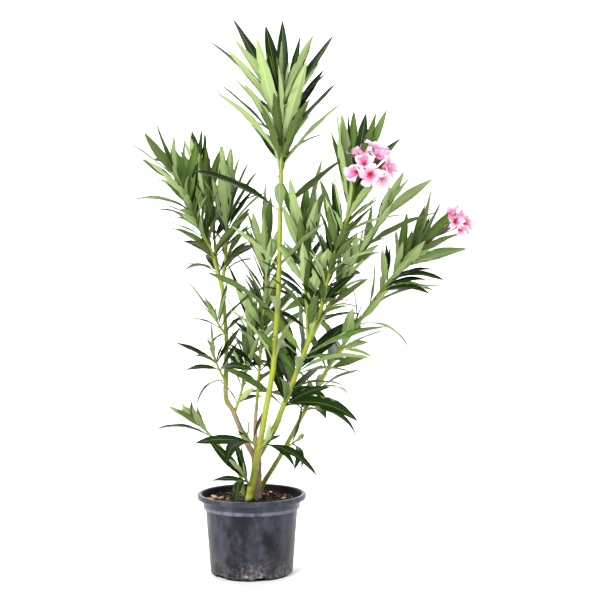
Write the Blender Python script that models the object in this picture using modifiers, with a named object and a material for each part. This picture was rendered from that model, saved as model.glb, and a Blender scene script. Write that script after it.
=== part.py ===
"""Potted oleander: a young shrub of five stems in a round grower's pot, in metres, +Z up.

The origin is the centre of the pot's flat underside. Woody limbs are tapering tubes. Each mass
of foliage is one solid: a green shoot with leaves in whorls of three, and on two of them blossom.
"""

import math
from typing import NamedTuple

import bmesh
import bpy
import numpy as np
from mathutils import Vector
from mathutils.bvhtree import BVHTree

# ---------------------------------------------------------------- driving dimensions, in metres
GAP = 0.0003  # air between neighbouring solids
WELD = 0.000002  # points closer than this are one
FLAT_ANGLE = math.radians(0.5)  # faces within this angle are one flat face

POT_HEIGHT = 0.1375
RIM_RADIUS = 0.0945
RIM_DEPTH = 0.0095
COLLAR_RADIUS = 0.0872  # just under the rim
COLLAR_DEPTH = 0.017
BODY_RADIUS = 0.0800  # just under the collar
FOOT_RADIUS = 0.0712
WALL = 0.0016
FLOOR = 0.0025
POT_STEPS = 32
DRAINS = 6
DRAIN_WIDTH = 0.025
DRAIN_HEIGHT = 0.0056
DRAIN_DEPTH = 0.0062  # how far a drain notch reaches in from the foot

SOIL_LEVEL = 0.128
SOIL_DIP = 0.003  # how far the soil falls off towards the wall
SOIL_FLAT_RADIUS = 0.048

STEM_FOOT = SOIL_LEVEL + GAP  # the flat cut at the foot of every stem
LEAD_IN = 0.003  # straight start of a limb, square to its cut

LEAVES_PER_WHORL = 3
WHORL_TURN = 60.0  # each whorl stands over the gaps of the one below, in degrees
LEAF_SLENDERNESS = 0.155  # width over length
LEAF_WIDTHS = (0.010, 0.025)  # narrowest and widest blade
LEAF_ROLL = math.radians(42)  # the most that a blade turns about its own length
LIGHT = (0.0, -0.85, 0.5)  # where most of the plant's light comes from
LIGHT_PULL = 0.45  # how strongly a blade turns its broad side to the light
BOWS = (0.020, -0.020)  # rise of the midrib over its chord, over the length: lowest and topmost whorl
BOW_SPREAD = 0.025
SAG = 0.20  # what is added to the bow of a leaf that points straight down
LEAF_THICKNESS = 0.014  # depth of the midrib's keel over length
PETIOLE_HALF_WIDTH = 0.0018
BLADE_STATIONS = (0.0, 0.34, 0.68)  # shares of the length at which a blade has a section
ROOT_SHARE = 0.5  # how far out from the shoot's axis a leaf begins, over the shoot's radius
CLEARANCE = 0.0007  # kept round a leaf that passes another solid
LOWEST_TIP = SOIL_LEVEL + 0.003
# What is tried in turn where a leaf is not clear: a turn round the stem, more tilt (degrees), a shrinking.
TRIES = (
    (0, 0, 1.0),
    (9, 0, 1.0),
    (-9, 0, 1.0),
    (0, 6, 1.0),
    (18, 3, 0.97),
    (-18, 3, 0.97),
    (0, -6, 0.97),
    (27, 8, 0.92),
    (-27, 8, 0.92),
    (36, 0, 0.88),
    (-36, 12, 0.88),
)

FLORET_RADIUS = 0.0175
PETALS = 5
PEDICEL_RADIUS = 0.0013
HUB_RADIUS = 0.0050
PETAL_OUTLINE = ((-36, 0.42), (0, 1.06))  # degrees from a petal's middle, share of the floret's radius

# ---------------------------------------------------------------- colours: base colour, roughness
COLOURS = {
    "dark_plastic": ((0.045, 0.050, 0.075), 0.42),
    "potting_soil": ((0.085, 0.045, 0.028), 0.95),
    "old_bark": ((0.300, 0.200, 0.120), 0.85),
    "green_bark": ((0.300, 0.400, 0.090), 0.55),
    "leaf": ((0.070, 0.190, 0.050), 0.45),
}


class Limb(NamedTuple):
    """A woody limb: guide points from foot to tip, its radii there, and its neighbours."""

    guide: tuple
    radii: tuple
    carries_on: str = ""  # the limb whose tip it meets, end to end
    clear_of: tuple = ()  # the limbs that it is coped against
    colour: str = "green_bark"
    sides: int = 8


LIMBS = {
    "trunk": Limb(
        ((0.003, 0.008, STEM_FOOT), (0.005, 0.008, 0.134), (0.008, 0.008, 0.165), (0.008, 0.007, 0.205)),
        (0.0135, 0.0105, 0.0088, 0.0082),
        colour="old_bark",
    ),
    "stem_front": Limb(
        ((-0.004, -0.015, STEM_FOOT), (0.004, -0.016, 0.169), (0.022, -0.019, 0.266), (0.038, -0.020, 0.355)),
        (0.0074, 0.0059, 0.0052, 0.0048),
    ),
    "bough_middle": Limb(
        ((0.008, 0.007, 0.205), (0.005, 0.020, 0.250), (0.008, 0.028, 0.294)),
        (0.0046, 0.0034, 0.0030),
        carries_on="trunk",
        colour="old_bark",
    ),
    "bough_left": Limb(
        ((0.008, 0.007, 0.192), (-0.011, 0.010, 0.227), (-0.027, 0.012, 0.262), (-0.034, 0.013, 0.280)),
        (0.0058, 0.0048, 0.0046, 0.0047),
        clear_of=("trunk", "bough_middle"),
        colour="old_bark",
    ),
    "bough_right": Limb(
        ((0.008, 0.007, 0.196), (0.027, 0.002, 0.228), (0.042, -0.004, 0.255), (0.051, -0.008, 0.279)),
        (0.0062, 0.0056, 0.0053, 0.0049),
        clear_of=("trunk", "bough_middle", "bough_left"),
        colour="old_bark",
    ),
    "bough_left_upper": Limb(
        (
            (-0.034, 0.013, 0.280),
            (-0.046, 0.015, 0.302),
            (-0.046, 0.020, 0.357),
            (-0.047, 0.027, 0.420),
            (-0.055, 0.036, 0.505),
        ),
        (0.0046, 0.0042, 0.0040, 0.0037, 0.0035),
        carries_on="bough_left",
    ),
    "stem_right": Limb(
        ((0.010, 0.030, STEM_FOOT), (0.022, 0.030, 0.153), (0.050, 0.032, 0.198), (0.084, 0.036, 0.260)),
        (0.0052, 0.0044, 0.0040, 0.0038),
    ),
    "stem_low_left": Limb(
        ((-0.015, 0.021, STEM_FOOT), (-0.020, 0.021, 0.159), (-0.038, 0.023, 0.191), (-0.069, 0.030, 0.226)),
        (0.0040, 0.0031, 0.0028, 0.0026),
    ),
    "dead_twig": Limb(
        ((-0.014, 0.010, 0.233), (-0.006, 0.014, 0.244), (-0.008, 0.018, 0.262)),
        (0.0020, 0.0016, 0.0012),
        clear_of=("bough_left",),
        colour="old_bark",
        sides=6,
    ),
}


class Bloom(NamedTuple):
    """Blossom at a shoot's tip: its stalk's reach, its florets, how far they spread and how they face."""

    reach: tuple
    florets: int
    spread: float
    size: float
    facing: tuple
    seed: int


class Shoot(NamedTuple):
    """A mass of foliage: one green shoot, its whorls of leaves and, where it has any, its bloom.

    Leading leaves are (share of the shoot's length, tip's offset from the leaf's root in mm, roll
    in degrees). Each takes the place of the whorl leaf that stands nearest to it.
    """

    guide: tuple
    radii: tuple
    whorls: int
    span: tuple  # shares of the shoot's length between which the whorls stand
    crowding: float  # above 1, the whorls draw together towards the tip
    lengths: tuple  # leaf length in the lowest and the topmost whorl
    tilts: tuple  # angle between leaf and shoot in the lowest and the topmost whorl, in degrees
    seed: int
    leading: tuple = ()
    carries_on: str = ""
    clear_of: tuple = ()
    bloom: Bloom = None


SHOOTS = {
    "crown_top": Shoot(
        guide=((0.051, -0.006, 0.697), (0.053, -0.003, 0.769), (0.053, 0.000, 0.824)),
        radii=(0.0040, 0.0034, 0.0022),
        whorls=11,
        span=(0.07, 0.97),
        crowding=1.16,
        lengths=(0.138, 0.128),
        tilts=(44, 37),
        seed=8087,
        leading=(
            (0.06, (104, -9, 108), 26),
            (0.17, (-113, -16, 113), -30),
            (0.32, (43, -31, 150), 21),
            (0.35, (95, 13, 110), -7),
            (0.39, (-106, 2, 104), -14),
            (0.44, (-84, -25, 100), -19),
            (0.47, (-5, -24, 119), 48),
            (0.47, (-42, -39, 164), -15),
            (0.59, (73, 23, 112), -26),
            (0.66, (-98, -10, 130), -37),
            (0.73, (90, 39, 153), -13),
            (0.74, (-133, 25, 142), 7),
            (0.76, (79, -4, 117), 23),
            (0.84, (-89, 27, 171), 31),
            (0.85, (54, 23, 138), -10),
            (0.88, (-30, 46, 152), 19),
            (0.94, (30, 31, 121), 9),
            (0.97, (0, 28, 149), 12),
            (0.97, (-1, 3, 104), -71),
        ),
        carries_on="foliage_front",
    ),
    "tuft_right_front": Shoot(
        guide=(
            (0.103, -0.026, 0.413),
            (0.118, -0.032, 0.450),
            (0.128, -0.042, 0.495),
            (0.141, -0.054, 0.547),
            (0.166, -0.074, 0.619),
            (0.175, -0.084, 0.673),
        ),
        radii=(0.0040, 0.0036, 0.0034, 0.0032, 0.0028, 0.0020),
        whorls=9,
        span=(0.30, 0.95),
        crowding=1.7,
        lengths=(0.074, 0.133),
        tilts=(42, 14),
        seed=787,
        leading=(
            (0.49, (-4, -44, 31), -8),
            (0.53, (-25, 66, 129), -19),
            (0.64, (97, -39, 30), 12),
            (0.68, (-18, -79, 36), 12),
            (0.68, (-14, 8, 90), 28),
            (0.74, (7, -32, 82), 8),
            (0.79, (-24, -59, 159), 26),
            (0.85, (-14, -41, 152), -36),
            (0.86, (-35, -10, 113), 10),
            (0.89, (65, 74, 163), 26),
            (0.95, (35, -32, 122), 10),
            (0.95, (3, 38, 137), -22),
            (0.95, (82, 29, 89), 3),
            (0.95, (24, 38, 138), 15),
        ),
        carries_on="foliage_right",
        bloom=Bloom((0.024, -0.008, 0.018), 8, 0.035, 1.0, (0.10, -0.90, 0.35), 5),
    ),
    "tuft_far_right": Shoot(
        guide=((0.176, 0.054, 0.412), (0.219, 0.058, 0.475), (0.257, 0.054, 0.523), (0.298, 0.044, 0.568)),
        radii=(0.0034, 0.0031, 0.0027, 0.0020),
        whorls=8,
        span=(0.12, 0.93),
        crowding=1.65,
        lengths=(0.084, 0.112),
        tilts=(44, 18),
        seed=2424,
        leading=(
            (0.04, (87, -23, -45), 6),
            (0.3, (124, -60, 36), -24),
            (0.44, (103, 62, 3), -15),
            (0.46, (80, -60, -4), -36),
            (0.55, (87, -58, -3), -27),
            (0.66, (52, -84, 64), 20),
            (0.72, (136, 88, 41), 7),
            (0.73, (14, -12, 100), 41),
            (0.73, (-4, 34, 71), -16),
            (0.83, (48, 37, 85), -31),
            (0.87, (69, -17, 33), 0),
            (0.87, (99, 1, 42), 6),
        ),
        carries_on="foliage_right_low",
        bloom=Bloom((0.064, -0.004, 0.041), 5, 0.020, 0.82, (0.45, -0.75, 0.30), 6),
    ),
    "tuft_far_left": Shoot(
        guide=(
            (-0.055, 0.036, 0.494),
            (-0.072, 0.028, 0.556),
            (-0.094, 0.008, 0.603),
            (-0.112, -0.024, 0.645),
            (-0.132, -0.052, 0.698),
        ),
        radii=(0.0032, 0.0030, 0.0028, 0.0026, 0.0018),
        whorls=8,
        span=(0.26, 0.96),
        crowding=1.47,
        lengths=(0.097, 0.077),
        tilts=(53, 20),
        seed=9736,
        leading=(
            (0.2, (57, -34, 61), 55),
            (0.23, (-65, -48, 45), 12),
            (0.41, (-3, -42, 36), -22),
            (0.57, (-38, -42, 129), -22),
            (0.65, (-91, -37, 15), -16),
            (0.76, (-16, -47, 49), -31),
            (0.8, (-57, -108, 55), 9),
            (0.8, (14, 43, 102), -47),
            (0.81, (-35, -55, 99), -17),
            (0.83, (-65, -4, 46), 8),
            (0.92, (-90, 8, 66), -40),
            (0.92, (-45, -62, 64), -9),
        ),
        clear_of=("bough_left_upper", "tuft_left_inner"),
    ),
    "tuft_left_back": Shoot(
        guide=(
            (-0.055, 0.036, 0.498),
            (-0.066, 0.058, 0.545),
            (-0.077, 0.092, 0.623),
            (-0.094, 0.112, 0.676),
            (-0.106, 0.126, 0.722),
        ),
        radii=(0.0028, 0.0026, 0.0024, 0.0022, 0.0016),
        whorls=7,
        span=(0.52, 0.96),
        crowding=1.37,
        lengths=(0.131, 0.075),
        tilts=(49, 8),
        seed=8399,
        leading=(
            (0.54, (-66, 11, 116), 28),
            (0.54, (-81, 52, 65), -27),
            (0.58, (-11, 87, 69), -11),
            (0.79, (-74, 43, 60), 24),
            (0.8, (-55, -17, 74), 7),
            (0.84, (-106, 109, 59), 42),
            (0.86, (-38, 18, 88), 22),
            (0.92, (-21, 51, 92), -9),
            (0.92, (-2, 42, 93), 9),
        ),
        clear_of=("bough_left_upper", "tuft_left_inner", "tuft_far_left"),
    ),
    "tuft_left_inner": Shoot(
        guide=(
            (-0.055, 0.036, 0.505),
            (-0.049, 0.046, 0.544),
            (-0.048, 0.070, 0.634),
            (-0.046, 0.080, 0.673),
        ),
        radii=(0.0036, 0.0030, 0.0026, 0.0018),
        whorls=7,
        span=(0.40, 0.95),
        crowding=1.28,
        lengths=(0.097, 0.099),
        tilts=(46, 8),
        seed=4250,
        leading=(
            (0.52, (-1, -64, 145), -49),
            (0.57, (56, 4, 100), -38),
            (0.58, (11, 97, 71), 31),
            (0.75, (38, 17, 100), -30),
            (0.78, (7, 73, 77), -7),
            (0.8, (-13, -28, 113), 44),
            (0.8, (21, 23, 98), -30),
            (0.95, (8, -27, 81), -16),
            (0.95, (2, 43, 92), 21),
        ),
        carries_on="bough_left_upper",
    ),
    "foliage_front": Shoot(
        guide=(
            (0.038, -0.020, 0.355),
            (0.046, -0.017, 0.473),
            (0.049, -0.011, 0.586),
            (0.051, -0.006, 0.697),
        ),
        radii=(0.0048, 0.0044, 0.0041, 0.0039),
        whorls=4,
        span=(0.04, 0.80),
        crowding=0.9,
        lengths=(0.159, 0.140),
        tilts=(80, 41),
        seed=8507,
        leading=(
            (0.02, (30, -34, 71), -26),
            (0.07, (-73, -53, 89), 6),
            (0.27, (-115, -71, 71), 20),
            (0.27, (-5, -100, 30), 0),
            (0.52, (-79, -66, 66), -10),
            (0.52, (80, -56, 74), 10),
            (0.52, (68, 72, 49), 19),
            (0.80, (110, -10, 90), 35),
            (0.80, (-146, -50, 63), 20),
            (0.80, (0, -110, 35), 0),
        ),
        carries_on="stem_front",
    ),
    "tuft_right_back": Shoot(
        guide=(
            (0.101, -0.025, 0.404),
            (0.125, -0.014, 0.447),
            (0.149, 0.006, 0.487),
            (0.179, 0.030, 0.539),
            (0.211, 0.052, 0.589),
            (0.240, 0.070, 0.645),
        ),
        radii=(0.0036, 0.0034, 0.0032, 0.0030, 0.0026, 0.0018),
        whorls=8,
        span=(0.22, 0.96),
        crowding=1.74,
        lengths=(0.094, 0.055),
        tilts=(46, 8),
        seed=5380,
        leading=(
            (0.25, (37, 67, 13), 10),
            (0.39, (16, 5, 75), -15),
            (0.43, (56, 18, 56), -28),
            (0.49, (30, -11, 19), 9),
            (0.57, (-7, 21, 52), -13),
            (0.66, (120, -78, 57), -49),
            (0.89, (95, -32, 74), -10),
            (0.91, (40, -2, 77), 3),
            (0.96, (47, -2, 59), -35),
        ),
        clear_of=("foliage_right", "tuft_right_front", "tuft_right_inner"),
    ),
    "tuft_right_inner": Shoot(
        guide=(
            (0.098, -0.024, 0.398),
            (0.096, -0.014, 0.457),
            (0.092, -0.004, 0.504),
            (0.088, 0.006, 0.555),
            (0.089, 0.012, 0.596),
        ),
        radii=(0.0034, 0.0030, 0.0028, 0.0026, 0.0018),
        whorls=7,
        span=(0.30, 0.95),
        crowding=1.54,
        lengths=(0.113, 0.113),
        tilts=(56, 15),
        seed=5405,
        leading=(
            (0.36, (35, -66, 101), 19),
            (0.42, (-79, 26, 54), 10),
            (0.51, (6, -37, 123), -38),
            (0.54, (81, 16, 100), 10),
            (0.62, (7, -54, 97), -48),
            (0.76, (-24, 47, 83), -30),
            (0.86, (38, -1, 104), 21),
            (0.95, (8, 34, 95), -3),
            (0.95, (34, 7, 139), -18),
        ),
        clear_of=("foliage_right", "tuft_right_front"),
    ),
    "foliage_right": Shoot(
        guide=(
            (0.051, -0.008, 0.279),
            (0.070, -0.015, 0.326),
            (0.087, -0.020, 0.370),
            (0.103, -0.026, 0.413),
        ),
        radii=(0.0049, 0.0046, 0.0043, 0.0041),
        whorls=4,
        span=(0.08, 0.74),
        crowding=1.1,
        lengths=(0.154, 0.121),
        tilts=(49, 59),
        seed=954,
        leading=(
            (0.08, (-112, 22, 66), -2),
            (0.15, (122, -99, -15), -34),
            (0.17, (77, -42, 36), -89),
            (0.34, (-18, 139, 73), 18),
            (0.42, (67, 25, -37), -29),
            (0.5, (100, 70, 85), -42),
            (0.54, (124, -98, 25), 11),
            (0.77, (-12, 114, 123), -47),
            (0.78, (142, 5, 50), 8),
        ),
        carries_on="bough_right",
    ),
    "tuft_middle": Shoot(
        guide=(
            (0.008, 0.028, 0.294),
            (0.013, 0.042, 0.373),
            (0.018, 0.056, 0.441),
            (0.023, 0.064, 0.513),
            (0.019, 0.068, 0.560),
        ),
        radii=(0.0030, 0.0028, 0.0026, 0.0023, 0.0017),
        whorls=9,
        span=(0.20, 0.96),
        crowding=1.7,
        lengths=(0.067, 0.099),
        tilts=(60, 15),
        seed=9567,
        leading=(
            (0.28, (85, 18, 72), 55),
            (0.38, (1, 3, 66), 26),
            (0.43, (16, 95, 67), 23),
            (0.48, (-47, -12, 69), -34),
            (0.5, (60, -4, 71), 6),
            (0.68, (-56, -13, 76), -16),
            (0.88, (9, 46, 64), -38),
            (0.95, (-1, 22, 141), 80),
            (0.97, (10, 6, 112), 28),
        ),
        carries_on="bough_middle",
    ),
    "foliage_right_low": Shoot(
        guide=((0.084, 0.036, 0.260), (0.118, 0.042, 0.324), (0.147, 0.048, 0.372), (0.176, 0.054, 0.412)),
        radii=(0.0038, 0.0037, 0.0036, 0.0035),
        whorls=4,
        span=(0.10, 0.84),
        crowding=0.9,
        lengths=(0.117, 0.101),
        tilts=(80, 54),
        seed=1344,
        leading=(
            (0.08, (11, 97, 44), 16),
            (0.19, (-108, 44, 27), -19),
            (0.26, (72, -84, 42), -75),
            (0.33, (-54, -12, -18), 25),
            (0.54, (67, -64, 27), 59),
            (0.59, (25, 162, 46), 6),
            (0.78, (-68, 38, 78), 14),
            (0.81, (14, -119, 70), 0),
            (0.87, (78, 22, 31), 16),
        ),
        carries_on="stem_right",
    ),
    "tuft_inner_low": Shoot(
        guide=(
            (-0.032, 0.013, 0.272),
            (-0.020, 0.028, 0.310),
            (-0.012, 0.050, 0.351),
            (-0.004, 0.068, 0.381),
            (0.002, 0.092, 0.436),
        ),
        radii=(0.0028, 0.0026, 0.0024, 0.0022, 0.0015),
        whorls=6,
        span=(0.48, 0.95),
        crowding=1.58,
        lengths=(0.075, 0.123),
        tilts=(53, 32),
        seed=4590,
        leading=(
            (0.57, (50, 32, 31), -19),
            (0.58, (-69, -90, -50), -10),
            (0.58, (-5, -49, 100), 40),
            (0.83, (-46, -4, 131), 82),
            (0.88, (21, 41, 53), -4),
            (0.89, (59, 27, 49), -24),
            (0.93, (-8, 54, 44), -9),
            (0.94, (-39, 14, 84), -18),
            (0.95, (-18, -17, 73), -21),
        ),
        clear_of=("bough_left", "bough_left_upper"),
    ),
    "sprig_left_side": Shoot(
        guide=(
            (-0.045, 0.019, 0.326),
            (-0.056, 0.006, 0.349),
            (-0.064, -0.006, 0.370),
            (-0.068, -0.014, 0.390),
        ),
        radii=(0.0024, 0.0021, 0.0019, 0.0015),
        whorls=4,
        span=(0.42, 0.94),
        crowding=1.14,
        lengths=(0.085, 0.042),
        tilts=(78, 8),
        seed=9194,
        leading=(
            (0.38, (63, -76, 3), -11),
            (0.4, (-58, -16, -1), 15),
            (0.51, (-20, 30, 47), 63),
            (0.61, (-71, -8, 36), -7),
            (0.61, (-34, -51, 16), -32),
            (0.71, (0, -49, 46), -49),
            (0.8, (0, -27, 25), -15),
            (0.84, (-5, -14, 59), 27),
            (0.91, (1, -19, 26), -34),
        ),
        clear_of=("bough_left_upper",),
    ),
    "sprig_left_mid": Shoot(
        guide=((-0.046, 0.024, 0.412), (-0.056, 0.012, 0.425), (-0.062, 0.004, 0.438)),
        radii=(0.0023, 0.0020, 0.0015),
        whorls=3,
        span=(0.55, 0.92),
        crowding=1.09,
        lengths=(0.061, 0.084),
        tilts=(64, 19),
        seed=6902,
        leading=(
            (0.5, (-24, 30, 42), 50),
            (0.52, (89, -48, 75), 20),
            (0.58, (-56, -22, 18), -22),
            (0.76, (14, 14, 66), 14),
            (0.76, (-21, -34, 48), -10),
            (0.76, (-27, 38, 47), -28),
            (0.96, (-54, 35, 71), -63),
            (0.96, (19, -48, 54), 25),
            (0.97, (21, -59, 71), 29),
        ),
        clear_of=("bough_left_upper",),
    ),
    "tuft_low_left": Shoot(
        guide=((-0.069, 0.030, 0.226), (-0.092, 0.034, 0.251), (-0.112, 0.038, 0.265)),
        radii=(0.0026, 0.0022, 0.0015),
        whorls=4,
        span=(0.18, 0.92),
        crowding=0.99,
        lengths=(0.065, 0.047),
        tilts=(34, 9),
        seed=5531,
        leading=(
            (0.18, (-99, 29, 7), -18),
            (0.18, (-40, 54, 51), 39),
            (0.18, (-25, -63, 54), -22),
            (0.53, (-13, -1, 39), 0),
            (0.67, (-33, 70, 23), -6),
            (0.69, (-52, -23, 33), -40),
            (0.71, (-49, 12, 26), 13),
            (0.81, (-19, 1, 27), -8),
            (0.88, (-2, 1, 31), 0),
        ),
        carries_on="stem_low_left",
    ),
    "sprig_base": Shoot(
        guide=((-0.001, -0.0155, 0.150), (-0.005, -0.027, 0.159), (-0.009, -0.034, 0.168)),
        radii=(0.0024, 0.0022, 0.0016),
        whorls=2,
        span=(0.62, 0.90),
        crowding=0.9,
        lengths=(0.085, 0.074),
        tilts=(37, 18),
        seed=3584,
        leading=((0.62, (-12, -113, -13), 0), (0.62, (-60, -15, 5), 6), (0.9, (-62, -30, 72), 34)),
        clear_of=("stem_front",),
    ),
    "sprig_front_left": Shoot(
        guide=((0.013, -0.0175, 0.219), (0.004, -0.026, 0.226), (-0.003, -0.031, 0.233)),
        radii=(0.0024, 0.0022, 0.0016),
        whorls=1,
        span=(0.70, 0.92),
        crowding=1.03,
        lengths=(0.077, 0.061),
        tilts=(68, 45),
        seed=4136,
        leading=((0.73, (24, 24, 62), 14), (0.74, (-99, 14, -3), 43), (0.75, (-37, -107, -22), 49)),
        clear_of=("stem_front",),
    ),
    "sprig_front_right": Shoot(
        guide=((0.013, -0.0175, 0.217), (0.021, -0.028, 0.224), (0.028, -0.035, 0.231)),
        radii=(0.0024, 0.0022, 0.0016),
        whorls=1,
        span=(0.70, 0.92),
        crowding=1.05,
        lengths=(0.064, 0.062),
        tilts=(35, 47),
        seed=2399,
        leading=((0.61, (51, -5, -39), -7), (0.66, (89, -34, -49), 5), (0.74, (12, -32, 43), -48)),
        clear_of=("stem_front", "sprig_front_left"),
    ),
    "sprig_right_low": Shoot(
        guide=((0.056, 0.0325, 0.209), (0.068, 0.024, 0.218), (0.078, 0.016, 0.226)),
        radii=(0.0022, 0.0020, 0.0015),
        whorls=1,
        span=(0.66, 0.92),
        crowding=0.9,
        lengths=(0.056, 0.049),
        tilts=(56, 29),
        seed=2271,
        leading=((0.67, (3, -73, -35), -1), (0.74, (15, -32, -39), 8), (0.78, (17, 1, 71), -28)),
        clear_of=("stem_right",),
    ),
}


# ---------------------------------------------------------------- scene, materials and objects
def clear_scene():
    for old in list(bpy.data.objects):
        bpy.data.objects.remove(old, do_unlink=True)


def new_collection(name):
    collection = bpy.data.collections.new(name)
    bpy.context.scene.collection.children.link(collection)
    return collection


def material(name):
    """The Principled material of one finish, made once."""
    made = bpy.data.materials.get(name)
    if made is None:
        colour, roughness = COLOURS[name]
        made = bpy.data.materials.new(name)
        made.use_nodes = True
        shader = made.node_tree.nodes["Principled BSDF"]
        shader.inputs["Base Color"].default_value = (*colour, 1.0)
        shader.inputs["Roughness"].default_value = roughness
        shader.inputs["Metallic"].default_value = 0.0
        made.diffuse_color = (*colour, 1.0)
    return made


def paint(mesh, colour):
    """Gives the whole mesh one material."""
    mesh.materials.clear()
    mesh.materials.append(material(colour))
    for face in mesh.polygons:
        face.material_index = 0


def new_object(name, data, collection):
    made = bpy.data.objects.new(name, data)
    collection.objects.link(made)
    return made


def hide(guide):
    """Marks a cutter, which is no part of the plant."""
    guide.hide_render = True
    guide.display_type = "WIRE"


def drop_scraps(shape):
    """Keeps the largest closed body: faces with a free edge go, and then every smaller body."""
    while loose := [face for face in shape.faces if any(len(edge.link_faces) == 1 for edge in face.edges)]:
        bmesh.ops.delete(shape, geom=loose, context="FACES")
    waiting = set(shape.faces)
    bodies = []
    while waiting:
        front = [waiting.pop()]
        body = list(front)
        while front:
            near = {other for edge in front.pop().edges for other in edge.link_faces} & waiting
            waiting -= near
            front += near
            body += near
        bodies.append(body)
    bodies.sort(key=len)
    for body in bodies[:-1]:
        bmesh.ops.delete(shape, geom=body, context="FACES")


def applied_mesh(thing, name):
    """The object's mesh with its modifiers applied, its caps welded and its flat faces made whole."""
    evaluated = thing.evaluated_get(bpy.context.evaluated_depsgraph_get())
    mesh = bpy.data.meshes.new_from_object(evaluated)
    mesh.name = name
    shape = bmesh.new()
    shape.from_mesh(mesh)
    bmesh.ops.remove_doubles(shape, verts=shape.verts, dist=WELD)
    bmesh.ops.dissolve_limit(shape, angle_limit=FLAT_ANGLE, verts=shape.verts, edges=shape.edges)
    bmesh.ops.triangulate(shape, faces=shape.faces)
    drop_scraps(shape)
    shape.to_mesh(mesh)
    shape.free()
    return mesh


def combine(target, modifier_name, operation, **operand):
    """Applies one Boolean to the target object's own mesh."""
    step = target.modifiers.new(modifier_name, "BOOLEAN")
    step.operation = operation
    step.solver = "MANIFOLD"
    for key, value in operand.items():
        setattr(step, key, value)
    bpy.context.view_layer.update()
    old = target.data
    mesh = applied_mesh(target, old.name)
    target.modifiers.remove(step)
    target.data = mesh
    bpy.data.meshes.remove(old)


# ---------------------------------------------------------------- lines and tubes
def unit(vector):
    return vector / np.linalg.norm(vector)


def smooth_line(guide, per_span):
    """A Catmull-Rom curve through the guide points, as an array of points."""
    points = np.array(guide, dtype=float)
    ends = np.vstack([2 * points[0] - points[1], points, 2 * points[-1] - points[-2]])
    share = np.linspace(0, 1, per_span, endpoint=False)[:, None]
    spans = []
    for before, start, stop, after in zip(ends, ends[1:], ends[2:], ends[3:]):
        line = 2 * start + (stop - before) * share
        line = line + (2 * before - 5 * start + 4 * stop - after) * share**2
        line = line + (3 * start - before - 3 * stop + after) * share**3
        spans.append(line / 2)
    return np.vstack([*spans, points[-1:]])


def along(points):
    """Share of the whole length at each point."""
    steps = np.linalg.norm(np.diff(points, axis=0), axis=1)
    return np.append(0, np.cumsum(steps)) / steps.sum()


def at_share(points, share):
    """Point and direction at a share of the line's length."""
    marks = along(points)
    place = np.array([np.interp(share, marks, points[:, k]) for k in range(3)])
    ahead = np.array([np.interp(min(share + 0.03, 1.0), marks, points[:, k]) for k in range(3)])
    behind = np.array([np.interp(max(share - 0.03, 0.0), marks, points[:, k]) for k in range(3)])
    return place, unit(ahead - behind)


class Tube(NamedTuple):
    points: np.ndarray
    radii: np.ndarray
    sides: int


def tube_of(limb, tubes, sides, per_span):
    """The tube of a limb or shoot, whose foot is square to the limb that it carries on from."""
    points = smooth_line(limb.guide, per_span)
    radii = np.interp(along(points), along(np.array(limb.guide)), limb.radii)
    start = unit(points[1] - points[0])
    foot = points[0]
    if limb.carries_on:
        parent = tubes[limb.carries_on].points
        start = unit(parent[-1] - parent[-2])
        foot = parent[-1] + start * GAP
    elif foot[2] == STEM_FOOT:
        start = np.array((0.0, 0.0, 1.0))
    far = np.linalg.norm(points - foot, axis=1) > 2 * LEAD_IN
    points = np.vstack([foot, foot + start * LEAD_IN, points[far]])
    radii = np.concatenate([[radii[0], radii[0] * 0.98 + radii[1] * 0.02], radii[far]])
    return Tube(points, radii, sides)


def tube_object(name, tube, collection, swell=0.0):
    """A curve with a round bevel, swollen and lengthened a little as a cutter, made a mesh."""
    points = tube.points.copy()
    points[0] -= swell * unit(points[1] - points[0])
    points[-1] += 2 * swell * unit(points[-1] - points[-2])
    curve = bpy.data.curves.new(name, "CURVE")
    curve.dimensions = "3D"
    curve.bevel_depth = 1.0
    curve.bevel_resolution = tube.sides // 2 - 2
    curve.use_fill_caps = True
    spline = curve.splines.new("POLY")
    spline.points.add(len(points) - 1)
    corner_radii = tube.radii + swell / math.cos(math.pi / tube.sides)
    for point, place, radius in zip(spline.points, points, corner_radii):
        point.co = (*place, 1.0)
        point.radius = radius
    rod = new_object(name, curve, collection)
    mesh = applied_mesh(rod, name)
    bpy.data.objects.remove(rod)
    bpy.data.curves.remove(curve)
    return new_object(name, mesh, collection)


def turned(name, profile, collection, colour):
    """A solid of revolution about the Z axis, from a profile that runs down its outer side."""
    mesh = bpy.data.meshes.new(name)
    edges = [(k, k + 1) for k in range(len(profile) - 1)]
    mesh.from_pydata([(radius, 0, height) for radius, height in profile], edges, [])
    solid = new_object(name, mesh, collection)
    paint(mesh, colour)
    screw = solid.modifiers.new("Turn", "SCREW")
    screw.steps = screw.render_steps = POT_STEPS
    screw.use_merge_vertices = True
    screw.merge_threshold = 0.0001
    screw.use_normal_calculate = False
    return solid


# ---------------------------------------------------------------- pot and soil
def wall_outside():
    """Outer profile of the pot's wall from the collar down to the foot."""
    under_rim = POT_HEIGHT - RIM_DEPTH
    under_collar = under_rim - COLLAR_DEPTH
    return (
        (COLLAR_RADIUS, under_rim),
        (BODY_RADIUS + 0.0040, under_collar + 0.006),
        (BODY_RADIUS + 0.0034, under_collar + 0.001),
        (BODY_RADIUS, under_collar),
        (FOOT_RADIUS, 0.0045),
        (FOOT_RADIUS - 0.0012, 0.0012),
        (FOOT_RADIUS - 0.0030, 0.0),
    )


def inside_radius(height):
    """Radius of the pot's inner wall at a height."""
    outside = wall_outside()[::-1]
    return float(np.interp(height, [z for _, z in outside], [r for r, _ in outside])) - WALL


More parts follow.
